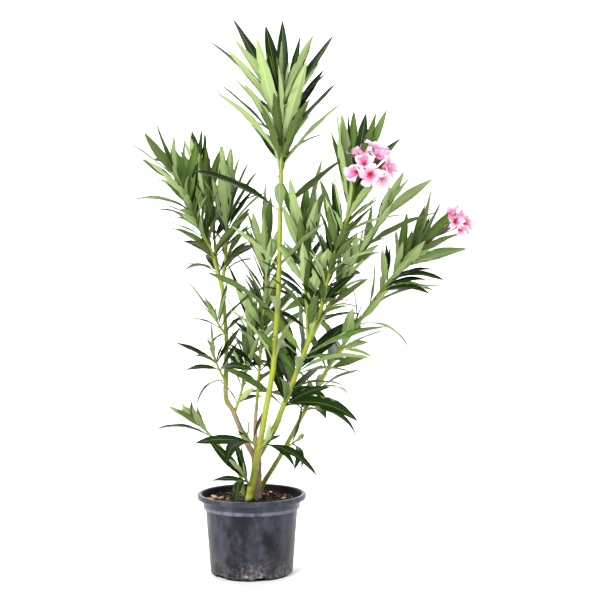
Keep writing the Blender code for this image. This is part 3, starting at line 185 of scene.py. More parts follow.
SHOOTS = {
    "crown_top": shoot_from(
        ((51, -6, 697), (53, -3, 769), (53, 0, 824)), (40, 34, 22), 11, (0.07, 0.97), 1.16, (138, 128),
        (44, 37), 8087,
        ((0.06, 104, -9, 108, 26), (0.17, -113, -16, 113, -30), (0.32, 43, -31, 150, 21),
        (0.35, 95, 13, 110, -7), (0.39, -106, 2, 104, -14), (0.44, -84, -25, 100, -19),
        (0.47, -5, -24, 119, 48), (0.47, -42, -39, 164, -15), (0.59, 73, 23, 112, -26),
        (0.66, -98, -10, 130, -37), (0.73, 90, 39, 153, -13), (0.74, -133, 25, 142, 7),
        (0.76, 79, -4, 117, 23), (0.84, -89, 27, 171, 31), (0.85, 54, 23, 138, -10), (0.88, -30, 46, 152, 19),
        (0.94, 30, 31, 121, 9), (0.97, 0, 28, 149, 12), (0.97, -1, 3, 104, -71)),
        carries_on="foliage_front"),
    "tuft_right_front": shoot_from(
        ((103, -26, 413), (118, -32, 450), (128, -42, 495), (141, -54, 547), (166, -74, 619),
        (175, -84, 673)), (40, 36, 34, 32, 28, 20), 9, (0.3, 0.95), 1.7, (74, 133), (42, 14), 787,
        ((0.49, -4, -44, 31, -8), (0.53, -25, 66, 129, -19), (0.64, 97, -39, 30, 12),
        (0.68, -18, -79, 36, 12), (0.68, -14, 8, 90, 28), (0.74, 7, -32, 82, 8), (0.79, -24, -59, 159, 26),
        (0.85, -14, -41, 152, -36), (0.86, -35, -10, 113, 10), (0.89, 65, 74, 163, 26),
        (0.95, 35, -32, 122, 10), (0.95, 3, 38, 137, -22), (0.95, 82, 29, 89, 3), (0.95, 24, 38, 138, 15)),
        carries_on="foliage_right",
        bloom=Bloom((0.024, -0.008, 0.018), 8, 0.035, 1.0, (0.1, -0.9, 0.35), 5)),
    "tuft_far_right": shoot_from(
        ((176, 54, 412), (219, 58, 475), (257, 54, 523), (298, 44, 568)), (34, 31, 27, 20), 8, (0.12, 0.93),
        1.65, (84, 112), (44, 18), 2424,
        ((0.04, 87, -23, -45, 6), (0.3, 124, -60, 36, -24), (0.44, 103, 62, 3, -15), (0.46, 80, -60, -4, -36),
        (0.55, 87, -58, -3, -27), (0.66, 52, -84, 64, 20), (0.72, 136, 88, 41, 7), (0.73, 14, -12, 100, 41),
        (0.73, -4, 34, 71, -16), (0.83, 48, 37, 85, -31), (0.87, 69, -17, 33, 0), (0.87, 99, 1, 42, 6)),
        carries_on="foliage_right_low",
        bloom=Bloom((0.064, -0.004, 0.041), 5, 0.02, 0.82, (0.45, -0.75, 0.3), 6)),
    "tuft_far_left": shoot_from(
        ((-55, 36, 494), (-72, 28, 556), (-94, 8, 603), (-112, -24, 645), (-132, -52, 698)),
        (32, 30, 28, 26, 18), 8, (0.26, 0.96), 1.47, (97, 77), (53, 20), 9736,
        ((0.2, 57, -34, 61, 55), (0.23, -65, -48, 45, 12), (0.41, -3, -42, 36, -22),
        (0.57, -38, -42, 129, -22), (0.65, -91, -37, 15, -16), (0.76, -16, -47, 49, -31),
        (0.8, -57, -108, 55, 9), (0.8, 14, 43, 102, -47), (0.81, -35, -55, 99, -17), (0.83, -65, -4, 46, 8),
        (0.92, -90, 8, 66, -40), (0.92, -45, -62, 64, -9)),
        clear_of=("bough_left_upper", "tuft_left_inner")),
    "tuft_left_back": shoot_from(
        ((-55, 36, 498), (-66, 58, 545), (-77, 92, 623), (-94, 112, 676), (-106, 126, 722)),
        (28, 26, 24, 22, 16), 7, (0.52, 0.96), 1.37, (131, 75), (49, 8), 8399,
        ((0.54, -66, 11, 116, 28), (0.54, -81, 52, 65, -27), (0.58, -11, 87, 69, -11),
        (0.79, -74, 43, 60, 24), (0.8, -55, -17, 74, 7), (0.84, -106, 109, 59, 42), (0.86, -38, 18, 88, 22),
        (0.92, -21, 51, 92, -9), (0.92, -2, 42, 93, 9)),
        clear_of=("bough_left_upper", "tuft_left_inner", "tuft_far_left")),
    "tuft_left_inner": shoot_from(
        ((-55, 36, 505), (-49, 46, 544), (-48, 70, 634), (-46, 80, 673)), (36, 30, 26, 18), 7, (0.4, 0.95),
        1.28, (97, 99), (46, 8), 4250,
        ((0.52, -1, -64, 145, -49), (0.57, 56, 4, 100, -38), (0.58, 11, 97, 71, 31), (0.75, 38, 17, 100, -30),
        (0.78, 7, 73, 77, -7), (0.8, -13, -28, 113, 44), (0.8, 21, 23, 98, -30), (0.95, 8, -27, 81, -16),
        (0.95, 2, 43, 92, 21)),
        carries_on="bough_left_upper"),
    "foliage_front": shoot_from(
        ((38, -20, 355), (46, -17, 473), (49, -11, 586), (51, -6, 697)), (48, 44, 41, 39), 4, (0.04, 0.8),
        0.9, (159, 140), (80, 41), 8507,
        ((0.02, 30, -34, 71, -26), (0.07, -73, -53, 89, 6), (0.27, -115, -71, 71, 20),
        (0.27, -5, -100, 30, 0), (0.52, -79, -66, 66, -10), (0.52, 80, -56, 74, 10), (0.52, 68, 72, 49, 19),
        (0.8, 110, -10, 90, 35), (0.8, -146, -50, 63, 20), (0.8, 0, -110, 35, 0)),
        carries_on="stem_front"),
    "tuft_right_back": shoot_from(
        ((101, -25, 404), (125, -14, 447), (149, 6, 487), (179, 30, 539), (211, 52, 589), (240, 70, 645)),
        (36, 34, 32, 30, 26, 18), 8, (0.22, 0.96), 1.74, (94, 55), (46, 8), 5380,
        ((0.25, 37, 67, 13, 10), (0.39, 16, 5, 75, -15), (0.43, 56, 18, 56, -28), (0.49, 30, -11, 19, 9),
        (0.57, -7, 21, 52, -13), (0.66, 120, -78, 57, -49), (0.89, 95, -32, 74, -10), (0.91, 40, -2, 77, 3),
        (0.96, 47, -2, 59, -35)),
        clear_of=("foliage_right", "tuft_right_front", "tuft_right_inner")),
    "tuft_right_inner": shoot_from(
        ((98, -24, 398), (96, -14, 457), (92, -4, 504), (88, 6, 555), (89, 12, 596)), (34, 30, 28, 26, 18), 7,
        (0.3, 0.95), 1.54, (113, 113), (56, 15), 5405,
        ((0.36, 35, -66, 101, 19), (0.42, -79, 26, 54, 10), (0.51, 6, -37, 123, -38), (0.54, 81, 16, 100, 10),
        (0.62, 7, -54, 97, -48), (0.76, -24, 47, 83, -30), (0.86, 38, -1, 104, 21), (0.95, 8, 34, 95, -3),
        (0.95, 34, 7, 139, -18)),
        clear_of=("foliage_right", "tuft_right_front")),
    "foliage_right": shoot_from(
        ((51, -8, 279), (70, -15, 326), (87, -20, 370), (103, -26, 413)), (49, 46, 43, 41), 4, (0.08, 0.74),
        1.1, (154, 121), (49, 59), 954,
        ((0.08, -112, 22, 66, -2), (0.15, 122, -99, -15, -34), (0.17, 77, -42, 36, -89),
        (0.34, -18, 139, 73, 18), (0.42, 67, 25, -37, -29), (0.5, 100, 70, 85, -42), (0.54, 124, -98, 25, 11),
        (0.77, -12, 114, 123, -47), (0.78, 142, 5, 50, 8)),
        carries_on="bough_right"),
    "tuft_middle": shoot_from(
        ((8, 28, 294), (13, 42, 373), (18, 56, 441), (23, 64, 513), (19, 68, 560)), (30, 28, 26, 23, 17), 9,
        (0.2, 0.96), 1.7, (67, 99), (60, 15), 9567,
        ((0.28, 85, 18, 72, 55), (0.38, 1, 3, 66, 26), (0.43, 16, 95, 67, 23), (0.48, -47, -12, 69, -34),
        (0.5, 60, -4, 71, 6), (0.68, -56, -13, 76, -16), (0.88, 9, 46, 64, -38), (0.95, -1, 22, 141, 80),
        (0.97, 10, 6, 112, 28)),
        carries_on="bough_middle"),
    "foliage_right_low": shoot_from(
        ((84, 36, 260), (118, 42, 324), (147, 48, 372), (176, 54, 412)), (38, 37, 36, 35), 4, (0.1, 0.84),
        0.9, (117, 101), (80, 54), 1344,
        ((0.08, 11, 97, 44, 16), (0.19, -108, 44, 27, -19), (0.26, 72, -84, 42, -75),
        (0.33, -54, -12, -18, 25), (0.54, 67, -64, 27, 59), (0.59, 25, 162, 46, 6), (0.78, -68, 38, 78, 14),
        (0.81, 14, -119, 70, 0), (0.87, 78, 22, 31, 16)),
        carries_on="stem_right"),
    "tuft_inner_low": shoot_from(
        ((-32, 13, 272), (-20, 28, 310), (-12, 50, 351), (-4, 68, 381), (2, 92, 436)), (28, 26, 24, 22, 15),
        6, (0.48, 0.95), 1.58, (75, 123), (53, 32), 4590,
        ((0.57, 50, 32, 31, -19), (0.58, -69, -90, -50, -10), (0.58, -5, -49, 100, 40),
        (0.83, -46, -4, 131, 82), (0.88, 21, 41, 53, -4), (0.89, 59, 27, 49, -24), (0.93, -8, 54, 44, -9),
        (0.94, -39, 14, 84, -18), (0.95, -18, -17, 73, -21)),
        clear_of=("bough_left", "bough_left_upper")),
    "sprig_left_side": shoot_from(
        ((-45, 19, 326), (-56, 6, 349), (-64, -6, 370), (-68, -14, 390)), (24, 21, 19, 15), 4, (0.42, 0.94),
        1.14, (85, 42), (78, 8), 9194,
        ((0.38, 63, -76, 3, -11), (0.4, -58, -16, -1, 15), (0.51, -20, 30, 47, 63), (0.61, -71, -8, 36, -7),
        (0.61, -34, -51, 16, -32), (0.71, 0, -49, 46, -49), (0.8, 0, -27, 25, -15), (0.84, -5, -14, 59, 27),
        (0.91, 1, -19, 26, -34)),
        clear_of=("bough_left_upper",)),
    "sprig_left_mid": shoot_from(
        ((-46, 24, 412), (-56, 12, 425), (-62, 4, 438)), (23, 20, 15), 3, (0.55, 0.92), 1.09, (61, 84),
        (64, 19), 6902,
        ((0.5, -24, 30, 42, 50), (0.52, 89, -48, 75, 20), (0.58, -56, -22, 18, -22), (0.76, 14, 14, 66, 14),
        (0.76, -21, -34, 48, -10), (0.76, -27, 38, 47, -28), (0.96, -54, 35, 71, -63),
        (0.96, 19, -48, 54, 25), (0.97, 21, -59, 71, 29)),
        clear_of=("bough_left_upper",)),
    "tuft_low_left": shoot_from(
        ((-69, 30, 226), (-92, 34, 251), (-112, 38, 265)), (26, 22, 15), 4, (0.18, 0.92), 0.99, (65, 47),
        (34, 9), 5531,
        ((0.18, -99, 29, 7, -18), (0.18, -40, 54, 51, 39), (0.18, -25, -63, 54, -22), (0.53, -13, -1, 39, 0),
        (0.67, -33, 70, 23, -6), (0.69, -52, -23, 33, -40), (0.71, -49, 12, 26, 13), (0.81, -19, 1, 27, -8),
        (0.88, -2, 1, 31, 0)),
        carries_on="stem_low_left"),
    "sprig_base": shoot_from(
        ((-1, -15.5, 150), (-5, -27, 159), (-9, -34, 168)), (24, 22, 16), 2, (0.62, 0.9), 0.9, (85, 74),
        (37, 18), 3584,
        ((0.62, -12, -113, -13, 0), (0.62, -60, -15, 5, 6), (0.9, -62, -30, 72, 34)),
        clear_of=("stem_front",)),
    "sprig_front_left": shoot_from(
        ((13, -17.5, 219), (4, -26, 226), (-3, -31, 233)), (24, 22, 16), 1, (0.7, 0.92), 1.03, (77, 61),
        (68, 45), 4136,
        ((0.73, 24, 24, 62, 14), (0.74, -99, 14, -3, 43), (0.75, -37, -107, -22, 49)),
        clear_of=("stem_front",)),
    "sprig_front_right": shoot_from(
        ((13, -17.5, 217), (21, -28, 224), (28, -35, 231)), (24, 22, 16), 1, (0.7, 0.92), 1.05, (64, 62),
        (35, 47), 2399,
        ((0.61, 51, -5, -39, -7), (0.66, 89, -34, -49, 5), (0.74, 12, -32, 43, -48)),
        clear_of=("stem_front", "sprig_front_left")),
    "sprig_right_low": shoot_from(
        ((56, 32.5, 209), (68, 24, 218), (78, 16, 226)), (22, 20, 15), 1, (0.66, 0.92), 0.9, (56, 49),
        (56, 29), 2271,
        ((0.67, 3, -73, -35, -1), (0.74, 15, -32, -39, 8), (0.78, 17, 1, 71, -28)),
        clear_of=("stem_right",)),
}


# ---------------------------------------------------------------- lines and tubes
def unit(vector):
    return vector / np.linalg.norm(vector)


def units(vectors):
    """Every vector of an array (..., 3), brought to a length of 1."""
    return vectors / np.linalg.norm(vectors, axis=-1, keepdims=True)


def eased(pair, share):
    """From the pair's first number, at a share of 0, to its second at 1."""
    return pair[0] + (pair[1] - pair[0]) * share


def arc(start, middle, stop, share):
    """A quadratic Bezier: (1 - s)^2 start + 2 s (1 - s) middle + s^2 stop."""
    return (1 - share) ** 2 * start + 2 * share * (1 - share) * middle + share**2 * stop


def smooth_line(guide, per_span):
    """A Catmull-Rom curve through the guide points, as an array of points."""
    points = np.array(guide, dtype=float)
    ends = np.vstack([2 * points[0] - points[1], points, 2 * points[-1] - points[-2]])
    share = np.linspace(0, 1, per_span, endpoint=False)[:, None]
    spans = []
    for before, start, stop, after in zip(ends, ends[1:], ends[2:], ends[3:]):
        line = 2 * start + (stop - before) * share
        line = line + (2 * before - 5 * start + 4 * stop - after) * share**2
        line = line + (3 * start - before - 3 * stop + after) * share**3
        spans.append(line / 2)
    return np.vstack([*spans, points[-1:]])


def along(points):
    """Share of the whole length at each point."""
    steps = np.linalg.norm(np.diff(points, axis=0), axis=1)
    return np.append(0, np.cumsum(steps)) / steps.sum()


def at_share(points, share):
    """Point and direction at a share of the line's length."""
    marks = along(points)
    place = np.array([np.interp(share, marks, points[:, k]) for k in range(3)])
    ahead = np.array([np.interp(min(share + 0.03, 1.0), marks, points[:, k]) for k in range(3)])
    behind = np.array([np.interp(max(share - 0.03, 0.0), marks, points[:, k]) for k in range(3)])
    return place, unit(ahead - behind)


class Tube(NamedTuple):
    points: np.ndarray
    radii: np.ndarray


def tube_of(limb, tubes, per_span):
    """The tube of a limb or shoot, whose foot is square to the limb that it carries on from."""
    points = smooth_line(limb.guide, per_span)
    radii = np.interp(along(points), along(np.array(limb.guide)), limb.radii)
    start = unit(points[1] - points[0])
    foot = points[0]
    if limb.carries_on:
        parent = tubes[limb.carries_on].points
        start = unit(parent[-1] - parent[-2])
        foot = parent[-1] + start * GAP
    elif foot[2] == STEM_FOOT:
        start = np.array((0.0, 0.0, 1.0))
    far = np.linalg.norm(points - foot, axis=1) > 2 * LEAD_IN
    points = np.vstack([foot, foot + start * LEAD_IN, points[far]])
    radii = np.concatenate([[radii[0], radii[0] * 0.98 + radii[1] * 0.02], radii[far]])
    return Tube(points, radii)


# ---------------------------------------------------------------- leaves
class Leaf(NamedTuple):
    """A blade from its root inside the shoot to its tip, bowed along `bow` and lying across `side`."""

    root: np.ndarray
    tip: np.ndarray
    bow: np.ndarray
    side: np.ndarray
    width: float


def outward_of(direction, axis):
    """The part of a direction that leads straight away from the shoot's axis."""
    across = direction - axis * np.dot(direction, axis)
    return unit(across)


def leaf_towards(centre, radius, offset, axis, bow, roll):
    """A leaf that starts inside the shoot, upper face to the shoot's tip and broad side turned to the light.

    Roll turns it further about its own length.
    """
    length = np.linalg.norm(offset)
    chord = offset / length
    bow = bow + SAG * (1 - chord[2]) / 2
    outward = outward_of(offset, axis)
    root = centre + outward * radius * ROOT_SHARE
    lean = math.acos(float(np.clip(np.dot(chord, axis), -1, 1)))
    upward = math.sin(lean) * axis - math.cos(lean) * outward
    across, lit = np.cross(chord, upward), np.cross(chord, LIGHT)
    across = unit(across + math.copysign(LIGHT_PULL, np.dot(lit, across)) * lit)
    side = math.cos(roll) * across + math.sin(roll) * np.cross(across, chord)
    width = float(np.clip(length * LEAF_SLENDERNESS, *LEAF_WIDTHS))
    return Leaf(root, root + offset, upward * bow * length, side, width)


def half_width(share):
    """Lance-shaped outline: half the blade's width at a share of its length, over its full width."""
    return 0.5 * np.sin(np.pi * share**0.75) ** 1.2


def midrib(leaf, share):
    """The arc from root to tip, lifted by the bow in its middle."""
    return arc(leaf.root, (leaf.root + leaf.tip) / 2 + 2 * leaf.bow, leaf.tip, share)


def blade(leaf, stations=BLADE_STATIONS, margin=0.0):
    """Points and faces of a blade with a flat top and the midrib's keel below, to a pointed tip."""
    length = np.linalg.norm(leaf.tip - leaf.root)
    points = []
    for share in stations:
        centre = midrib(leaf, share)
        tangent = unit(midrib(leaf, share + 0.02) - centre)
        normal = unit(np.cross(leaf.side, tangent))
        half = max(leaf.width * half_width(share), PETIOLE_HALF_WIDTH) + margin
        keel = max(LEAF_THICKNESS * length, 1.2 * PETIOLE_HALF_WIDTH * (1 - share)) + margin
        top = centre + normal * (margin + keel * 0.25)
        points += [top - leaf.side * half, top + leaf.side * half, centre - normal * keel * 0.75]
    points.append(leaf.tip + unit(leaf.tip - leaf.root) * margin)
    faces = [(0, 2, 1)]
    for ring in range(len(stations) - 1):
        for edge in range(3):
            low, next_low = 3 * ring + edge, 3 * ring + (edge + 1) % 3
            faces += [(low, next_low, next_low + 3), (low, next_low + 3, low + 3)]
    last, tip = 3 * (len(stations) - 1), len(points) - 1
    faces += [(last + edge, last + (edge + 1) % 3, tip) for edge in range(3)]
    return points, faces


def whorl_shares(shoot):
    """Shares of the shoot's length at which its whorls stand, closing up towards the tip."""
    step = np.linspace(0, 1, shoot.whorls)
    return eased(shoot.span, 1 - (1 - step) ** shoot.crowding)


def leaf_slots(shoot, tube):
    """Every leaf of a shoot: whorl by whorl, three round the stem, drawn by the shoot's own seed."""
    draws = np.random.default_rng(shoot.seed)
    shares = whorl_shares(shoot)
    turn = draws.uniform(0, 360)
    slots = []
    for whorl, share in enumerate(shares):
        rise = whorl / max(shoot.whorls - 1, 1)
        place, axis = at_share(tube.points, share)
        radius = float(np.interp(share, along(tube.points), tube.radii))
        east = unit(np.cross(axis, (0.0, 1.0, 0.0)))
        north = np.cross(axis, east)
        for leaf in range(LEAVES_PER_WHORL):
            wobble, stretch, lean, bow, roll = draws.uniform(-1, 1, 5)
            angle = math.radians(turn + whorl * WHORL_TURN + leaf * THIRD_TURN + wobble * WHORL_WOBBLE)
            outward = math.cos(angle) * east + math.sin(angle) * north
            length = eased(shoot.lengths, rise) * (1 + LENGTH_SPREAD * stretch)
            tilt = math.radians(eased(shoot.tilts, rise**0.8) + TILT_SPREAD * lean)
            bend = eased(BOWS, rise) + BOW_SPREAD * bow
            turned_by = LEAF_ROLL * roll * (1 - 0.5 * rise)
            slots.append((place, radius, axis, outward, length, tilt, bend, turned_by))
    return slots


def leading_slots(shoot, slots):
    """Which slot each leading leaf takes: of the nearest whorl, the one that faces its way best."""
    shares = whorl_shares(shoot)
    taken = {}
    for share, *offset, roll in shoot.leading:
        offset = np.array(offset, dtype=float) / 1000
        for whorl in np.argsort(abs(shares - share)):
            first = LEAVES_PER_WHORL * whorl
            free = [k for k in range(first, first + LEAVES_PER_WHORL) if k not in taken]
            if free:
                facing = [np.dot(slots[k][3], outward_of(offset, slots[k][2])) for k in free]
                taken[free[int(np.argmax(facing))]] = (offset, math.radians(roll))
                break
    return taken


def bloom_frame(bloom, tip):
    """Hub of the bloom, the way it faces, and its right and upward directions."""
    ahead = unit(np.array(bloom.facing))
    right = unit(np.cross(ahead, (0.0, 0.0, 1.0)))
    return tip + np.array(bloom.reach), ahead, right, np.cross(right, ahead)


def bloom_guard(bloom, tip):
    """A closed double cone in front of the bloom that leaves stay out of, so that it is seen."""
    hub, ahead, right, above = bloom_frame(bloom, tip)
    wide = bloom.spread + 0.7 * FLORET_RADIUS * bloom.size
    turns = [k * math.tau / GUARD_SIDES for k in range(GUARD_SIDES)]
    points = [hub, *(hub + ahead * wide + wide * (right * math.cos(t) + above * math.sin(t)) for t in turns)]
    points.append(hub + ahead * 2.2 * wide)
    faces = [(0, k + 1, (k + 1) % GUARD_SIDES + 1) for k in range(GUARD_SIDES)]
    faces += [(GUARD_SIDES + 1, after, before) for _, before, after in faces]
    return points, faces


def tree_of(shapes):
    """One search tree over several (points, faces)."""
    points, faces = [], []
    for shape_points, shape_faces in shapes:
        start = len(points)
        points += [tuple(point) for point in shape_points]
        faces += [tuple(start + corner for corner in face) for face in shape_faces]
    return BVHTree.FromPolygons(points, faces) if faces else None


def clear(shape, tree):
    return tree is None or not tree_of([shape]).overlap(tree)


def grow(shoots, stems, solids):
    """Leaves of every shoot: leading leaves first, then the rest, each only where it touches nothing.

    Each is kept with its whorl's rank, from 0 in the lowest whorl to 1 in the topmost.
    """
    leaves = {name: [] for name in shoots}
    sites = {name: leaf_slots(shoot, stems[name]) for name, shoot in shoots.items()}
    leads = {name: leading_slots(shoot, sites[name]) for name, shoot in shoots.items()}
    bodies = {name: [shape] for name, shape in solids.items()}
    siblings = {name: [] for name in shoots}
    blooming = {name: shoot.bloom for name, shoot in shoots.items() if shoot.bloom}
    guards = [bloom_guard(bloom, stems[name].points[-1]) for name, bloom in blooming.items()]
    for leading in (True, False):
        for name in shoots:
            others = [shape for other, shapes in bodies.items() if other != name for shape in shapes]
            others = tree_of(others + guards)
            for number, (place, radius, axis, outward, length, tilt, bend, roll) in enumerate(sites[name]):
                if (number in leads[name]) != leading:
                    continue
                rank = number // LEAVES_PER_WHORL / max(shoots[name].whorls - 1, 1)
                for turn, lean, shrink in TRIES:
                    turn, lean = math.radians(turn), math.radians(lean)
                    spun = math.cos(turn) * outward + math.sin(turn) * np.cross(axis, outward)
                    offset = length * (math.cos(tilt + lean) * axis + math.sin(tilt + lean) * spun)
                    if leading:
                        offset, roll = leads[name][number]
                        roll += turn
                    leaf = leaf_towards(place, radius, offset * shrink, axis, bend, roll)
                    if leaf.tip[2] < LOWEST_TIP:
                        continue
                    outer = blade(leaf, OUTER_STATIONS, CLEARANCE / 2)
                    crowded = not leading and not clear(outer, tree_of(siblings[name]))
                    if clear(blade(leaf, margin=CLEARANCE), others) and not crowded:
                        leaves[name].append((leaf, rank))
                        siblings[name].append(outer)
                        bodies[name].append(blade(leaf))
                        break
    return leaves


# ---------------------------------------------------------------- blossom
def bloom_sites(bloom, tip):
    """Hub of the bloom and, for each floret, its throat and facing, fanned round the bloom's facing."""
    draws = np.random.default_rng(bloom.seed)
    hub, ahead, right, above = bloom_frame(bloom, tip)
    sites = []
    for number in range(bloom.florets):
        ring = math.sqrt((number + 0.5) / bloom.florets)
        turn = number * GOLDEN_ANGLE
        fan = right * math.cos(turn) * ring + above * math.sin(turn) * ring
        facing = unit(ahead * (1.15 - 0.75 * ring) + fan + draws.uniform(-0.12, 0.12, 3))
        sites.append((hub + bloom.spread * unit(ahead * 0.45 + fan) * (0.55 + 0.6 * ring), facing))
    return hub, sites


# ---------------------------------------------------------------- settings
def amount(name, description, default, **more):
    return FloatProperty(name=name, description=description, default=default, min=0.0, **more)


def size(name, description, default):
    return amount(name, description, default, unit="LENGTH", precision=4)


def count(name, description, default):
    return IntProperty(name=name, description=description, default=default, min=1)


def tint(name, description, default):
    more = {"min": 0.0, "max": 1.0, "subtype": "COLOR"}
    return FloatVectorProperty(name=name, description=description, default=default, **more)


class PotSettings(bpy.types.PropertyGroup):
    """Sizes and colours of the grower's pot."""

    height: size("Height", "From the foot to the top of the rim", POT_HIGH.z)
    rim_radius: size("Rim radius", "Outer radius of the rolled rim", POT_HIGH.x)
    rim_depth: size("Rim depth", "Height of the rolled rim", 0.0095)
    collar_radius: size("Collar radius", "Radius just under the rim", 0.0872)
    collar_depth: size("Collar depth", "Height of the wide collar", 0.017)
    body_radius: size("Body radius", "Radius just under the collar", 0.0800)
    foot_radius: size("Foot radius", "Radius of the foot", 0.0712)
    wall: size("Wall", "Thickness of the wall", 0.0016)
    floor: size("Floor", "Thickness of the floor", 0.0025)
    notches: count("Notches", "Drain notches round the foot", 6)
    notch_width: size("Notch width", "Width of a drain notch", 0.025)
    notch_height: size("Notch height", "Height of a drain notch", 0.0056)
    notch_depth: size("Notch depth", "How far a drain notch reaches in under the pot", 0.0062)
    plastic: tint("Plastic", "Colour of the clean plastic", (0.004, 0.005, 0.010))
    inner: tint("Inner wall", "Colour of the wall inside", (0.006, 0.006, 0.008))
    # The haze colour is also used for the painted highlights on the collar's ridge and the rim's lip.
    haze: tint("Haze", "Colour of the worn, dusty film", (0.128, 0.136, 0.184))
    lime: tint("Lime", "Colour of the lime marks near the foot", (0.46, 0.43, 0.41))
    earth: tint("Earth", "Colour of the dried earth near the foot", (0.105, 0.082, 0.070))


class SoilSettings(bpy.types.PropertyGroup):
    """Sizes and colours of the potting soil."""

    dip: size("Dip", "How far the soil falls off towards the wall", 0.003)
    lumps: size("Lumps", "Height of the soil's lumps", 0.0016)
    crumbs: count("Crumbs", "Loose crumbs of soil", 1500)
    chips: count("Chips", "Chips of bark on the soil", 210)
    damp: tint("Damp soil", "Colour of the damp soil", (0.007, 0.004, 0.003))
    dry: tint("Dry soil", "Colour of the dry crumbs", (0.045, 0.023, 0.013))
    chip: tint("Bark chip", "Colour of most bark chips", (0.110, 0.050, 0.026))
    pale_chip: tint("Pale chip", "Colour of the freshly broken chips", (0.47, 0.27, 0.15))
    red_chip: tint("Red chip", "Colour of the reddest chip", (0.55, 0.13, 0.045))


class BarkSettings(bpy.types.PropertyGroup):
    """Sizes and colours of the stems and boughs."""

    sides: count("Sides", "Faces round a limb", 28)
    step: size("Step", "Distance between two rings of faces along a limb", 0.0016)
    furrow: size("Furrow", "Depth of the furrows in old bark", 0.0007)
    wrinkle: size("Wrinkle", "Depth of the wrinkles in young bark", 0.00018)
    scar: size("Leaf scar", "How far the ring of a leaf scar stands out", 0.0007)
    scar_step: size("Scar step", "Distance between two rings of leaf scars", 0.034)
    tan: tint("Old bark", "Colour of the old bark", (0.36, 0.235, 0.135))
    grey: tint("Weathered bark", "Colour of the weathered bark", (0.20, 0.165, 0.125))
    green: tint("Young bark", "Colour of the young bark", (0.150, 0.195, 0.014))
    lime: tint("Fresh bark", "Colour of the freshest bark", (0.290, 0.335, 0.016))
    crack: tint("Cracks", "Colour of the finest cracks in old bark", (0.085, 0.055, 0.035))
    fleck: tint("Flecks", "Colour of the flecks on young bark", (0.42, 0.40, 0.20))


class LeafSettings(bpy.types.PropertyGroup):
    """Sizes and colours of the leaves."""

    rows: count("Rows", "Sections of a leaf from root to tip", 12)
    thickness: size("Thickness", "Thickness of a blade", 0.0005)
    rib: size("Rib", "How far the midrib stands out below", 0.0008)
    stalk: size("Stalk", "Half the width of the leaf stalk", 0.0013)
    fold: amount("Fold", "Rise of a leaf's edges over its midrib, over its half width", 0.42)
    spread: amount("Spread", "Width of the blades over the solid ones'", 1.08)
    # The deep green is an old leaf's colour and also painted shade for leaves inside the masses.
    deep_and_shaded: tint("Deep green", "Upper face of an old leaf", (0.006, 0.019, 0.002))
    middle: tint("Middle green", "Upper face of a grown leaf", (0.080, 0.142, 0.026))
    fresh: tint("Fresh green", "Upper face of a young leaf", (0.165, 0.268, 0.055))
    # The dull underside is partly painted shade, for undersides that stand in shadow.
    dull_and_shaded: tint("Dull underside", "Undersides of the darkest leaves", (0.090, 0.132, 0.034))
    pale: tint("Pale underside", "Undersides of most leaves", (0.272, 0.362, 0.140))
    light: tint("Light underside", "Undersides of the palest leaves", (0.318, 0.420, 0.168))
    midrib: tint("Midrib", "Colour of the midrib", (0.230, 0.310, 0.070))


class BlossomSettings(bpy.types.PropertyGroup):
    """Sizes and colours of the blossom."""

    petal_rows: count("Petal rows", "Sections of a petal from throat to edge", 9)
    petal_thickness: size("Petal thickness", "Thickness of a petal", 0.0004)
    buds: count("Buds", "Closed buds in the large cluster", 8)
    throat: tint("Throat", "Colour of the flower's throat", (0.70, 0.100, 0.180))
    rose: tint("Rose", "Petals next to the throat", (0.74, 0.230, 0.400))
    pink: tint("Pink", "Middle of the petals", (0.76, 0.400, 0.590))
    blush: tint("Blush", "Outer half of the petals", (0.77, 0.560, 0.700))
    white: tint("White", "Edge of the petals", (0.80, 0.67, 0.75))
    stalk: tint("Flower stalk", "Colour of flower stalks and sepals", (0.130, 0.035, 0.018))


class StageSettings(bpy.types.PropertyGroup):
    """Camera, floor and light."""

    distance: size("Camera distance", "From the camera to the pot's axis", 1.84)
    camera_x: size("Camera side", "How far the camera stands to the right of the axis", 0.084)
    camera_z: size("Camera height", "Height of the camera above the floor", 0.473)
    view_width: size("View width", "Width that the camera sees at the pot's axis", 1.0458)
    floor: tint("Floor", "Colour of the floor and backdrop", (0.90, 0.90, 0.90))
    sky: amount("Sky", "Strength of the even light from all round", 0.60)
    key: amount("Key light", "Power of the main light", 190.0, unit="POWER")
    fill: amount("Fill light", "Power of the second light", 18.0, unit="POWER")
    wash: amount("Wash", "Power of the light on the backdrop", 150.0, unit="POWER")


# ---------------------------------------------------------------- meshes
def add_piece(name, points, faces, finishes, shares=None, crease=None, attributes=None):
    """A piece from arrays: points (n, 3), faces as arrays of corner numbers, and a finish for each face."""
    points = np.asarray(points, dtype=np.float32).reshape(-1, 3)
    corners = np.concatenate([np.asarray(part, dtype=np.int32).ravel() for part in faces])
    sides = np.concatenate([np.full(len(part), part.shape[1], dtype=np.int32) for part in faces])
    mesh = bpy.data.meshes.new(name)
    mesh.vertices.add(len(points))
    mesh.vertices.foreach_set("co", points.ravel())
    mesh.loops.add(len(corners))
    mesh.loops.foreach_set("vertex_index", corners)
    mesh.polygons.add(len(sides))
    mesh.polygons.foreach_set("loop_start", np.append(0, np.cumsum(sides)[:-1]).astype(np.int32))
    for finish in finishes:
        mesh.materials.append(finish)
    if shares is not None:
        mesh.polygons.foreach_set("material_index", np.asarray(shares, dtype=np.int32))
    mesh.update(calc_edges=True)
    if mesh.validate():
        raise RuntimeError(f"{name} has faces that are not sound")
    mesh.shade_smooth()
    if crease is not None:
        mesh.set_sharp_from_angle(angle=crease)
    for label, values in (attributes or {}).items():
        layer = mesh.attributes.new(label, "FLOAT", "POINT")
        layer.data.foreach_set("value", np.asarray(values, dtype=np.float32).ravel())
    made = bpy.data.objects.new(name, mesh)
    bpy.context.scene.collection.objects.link(made)
    return made


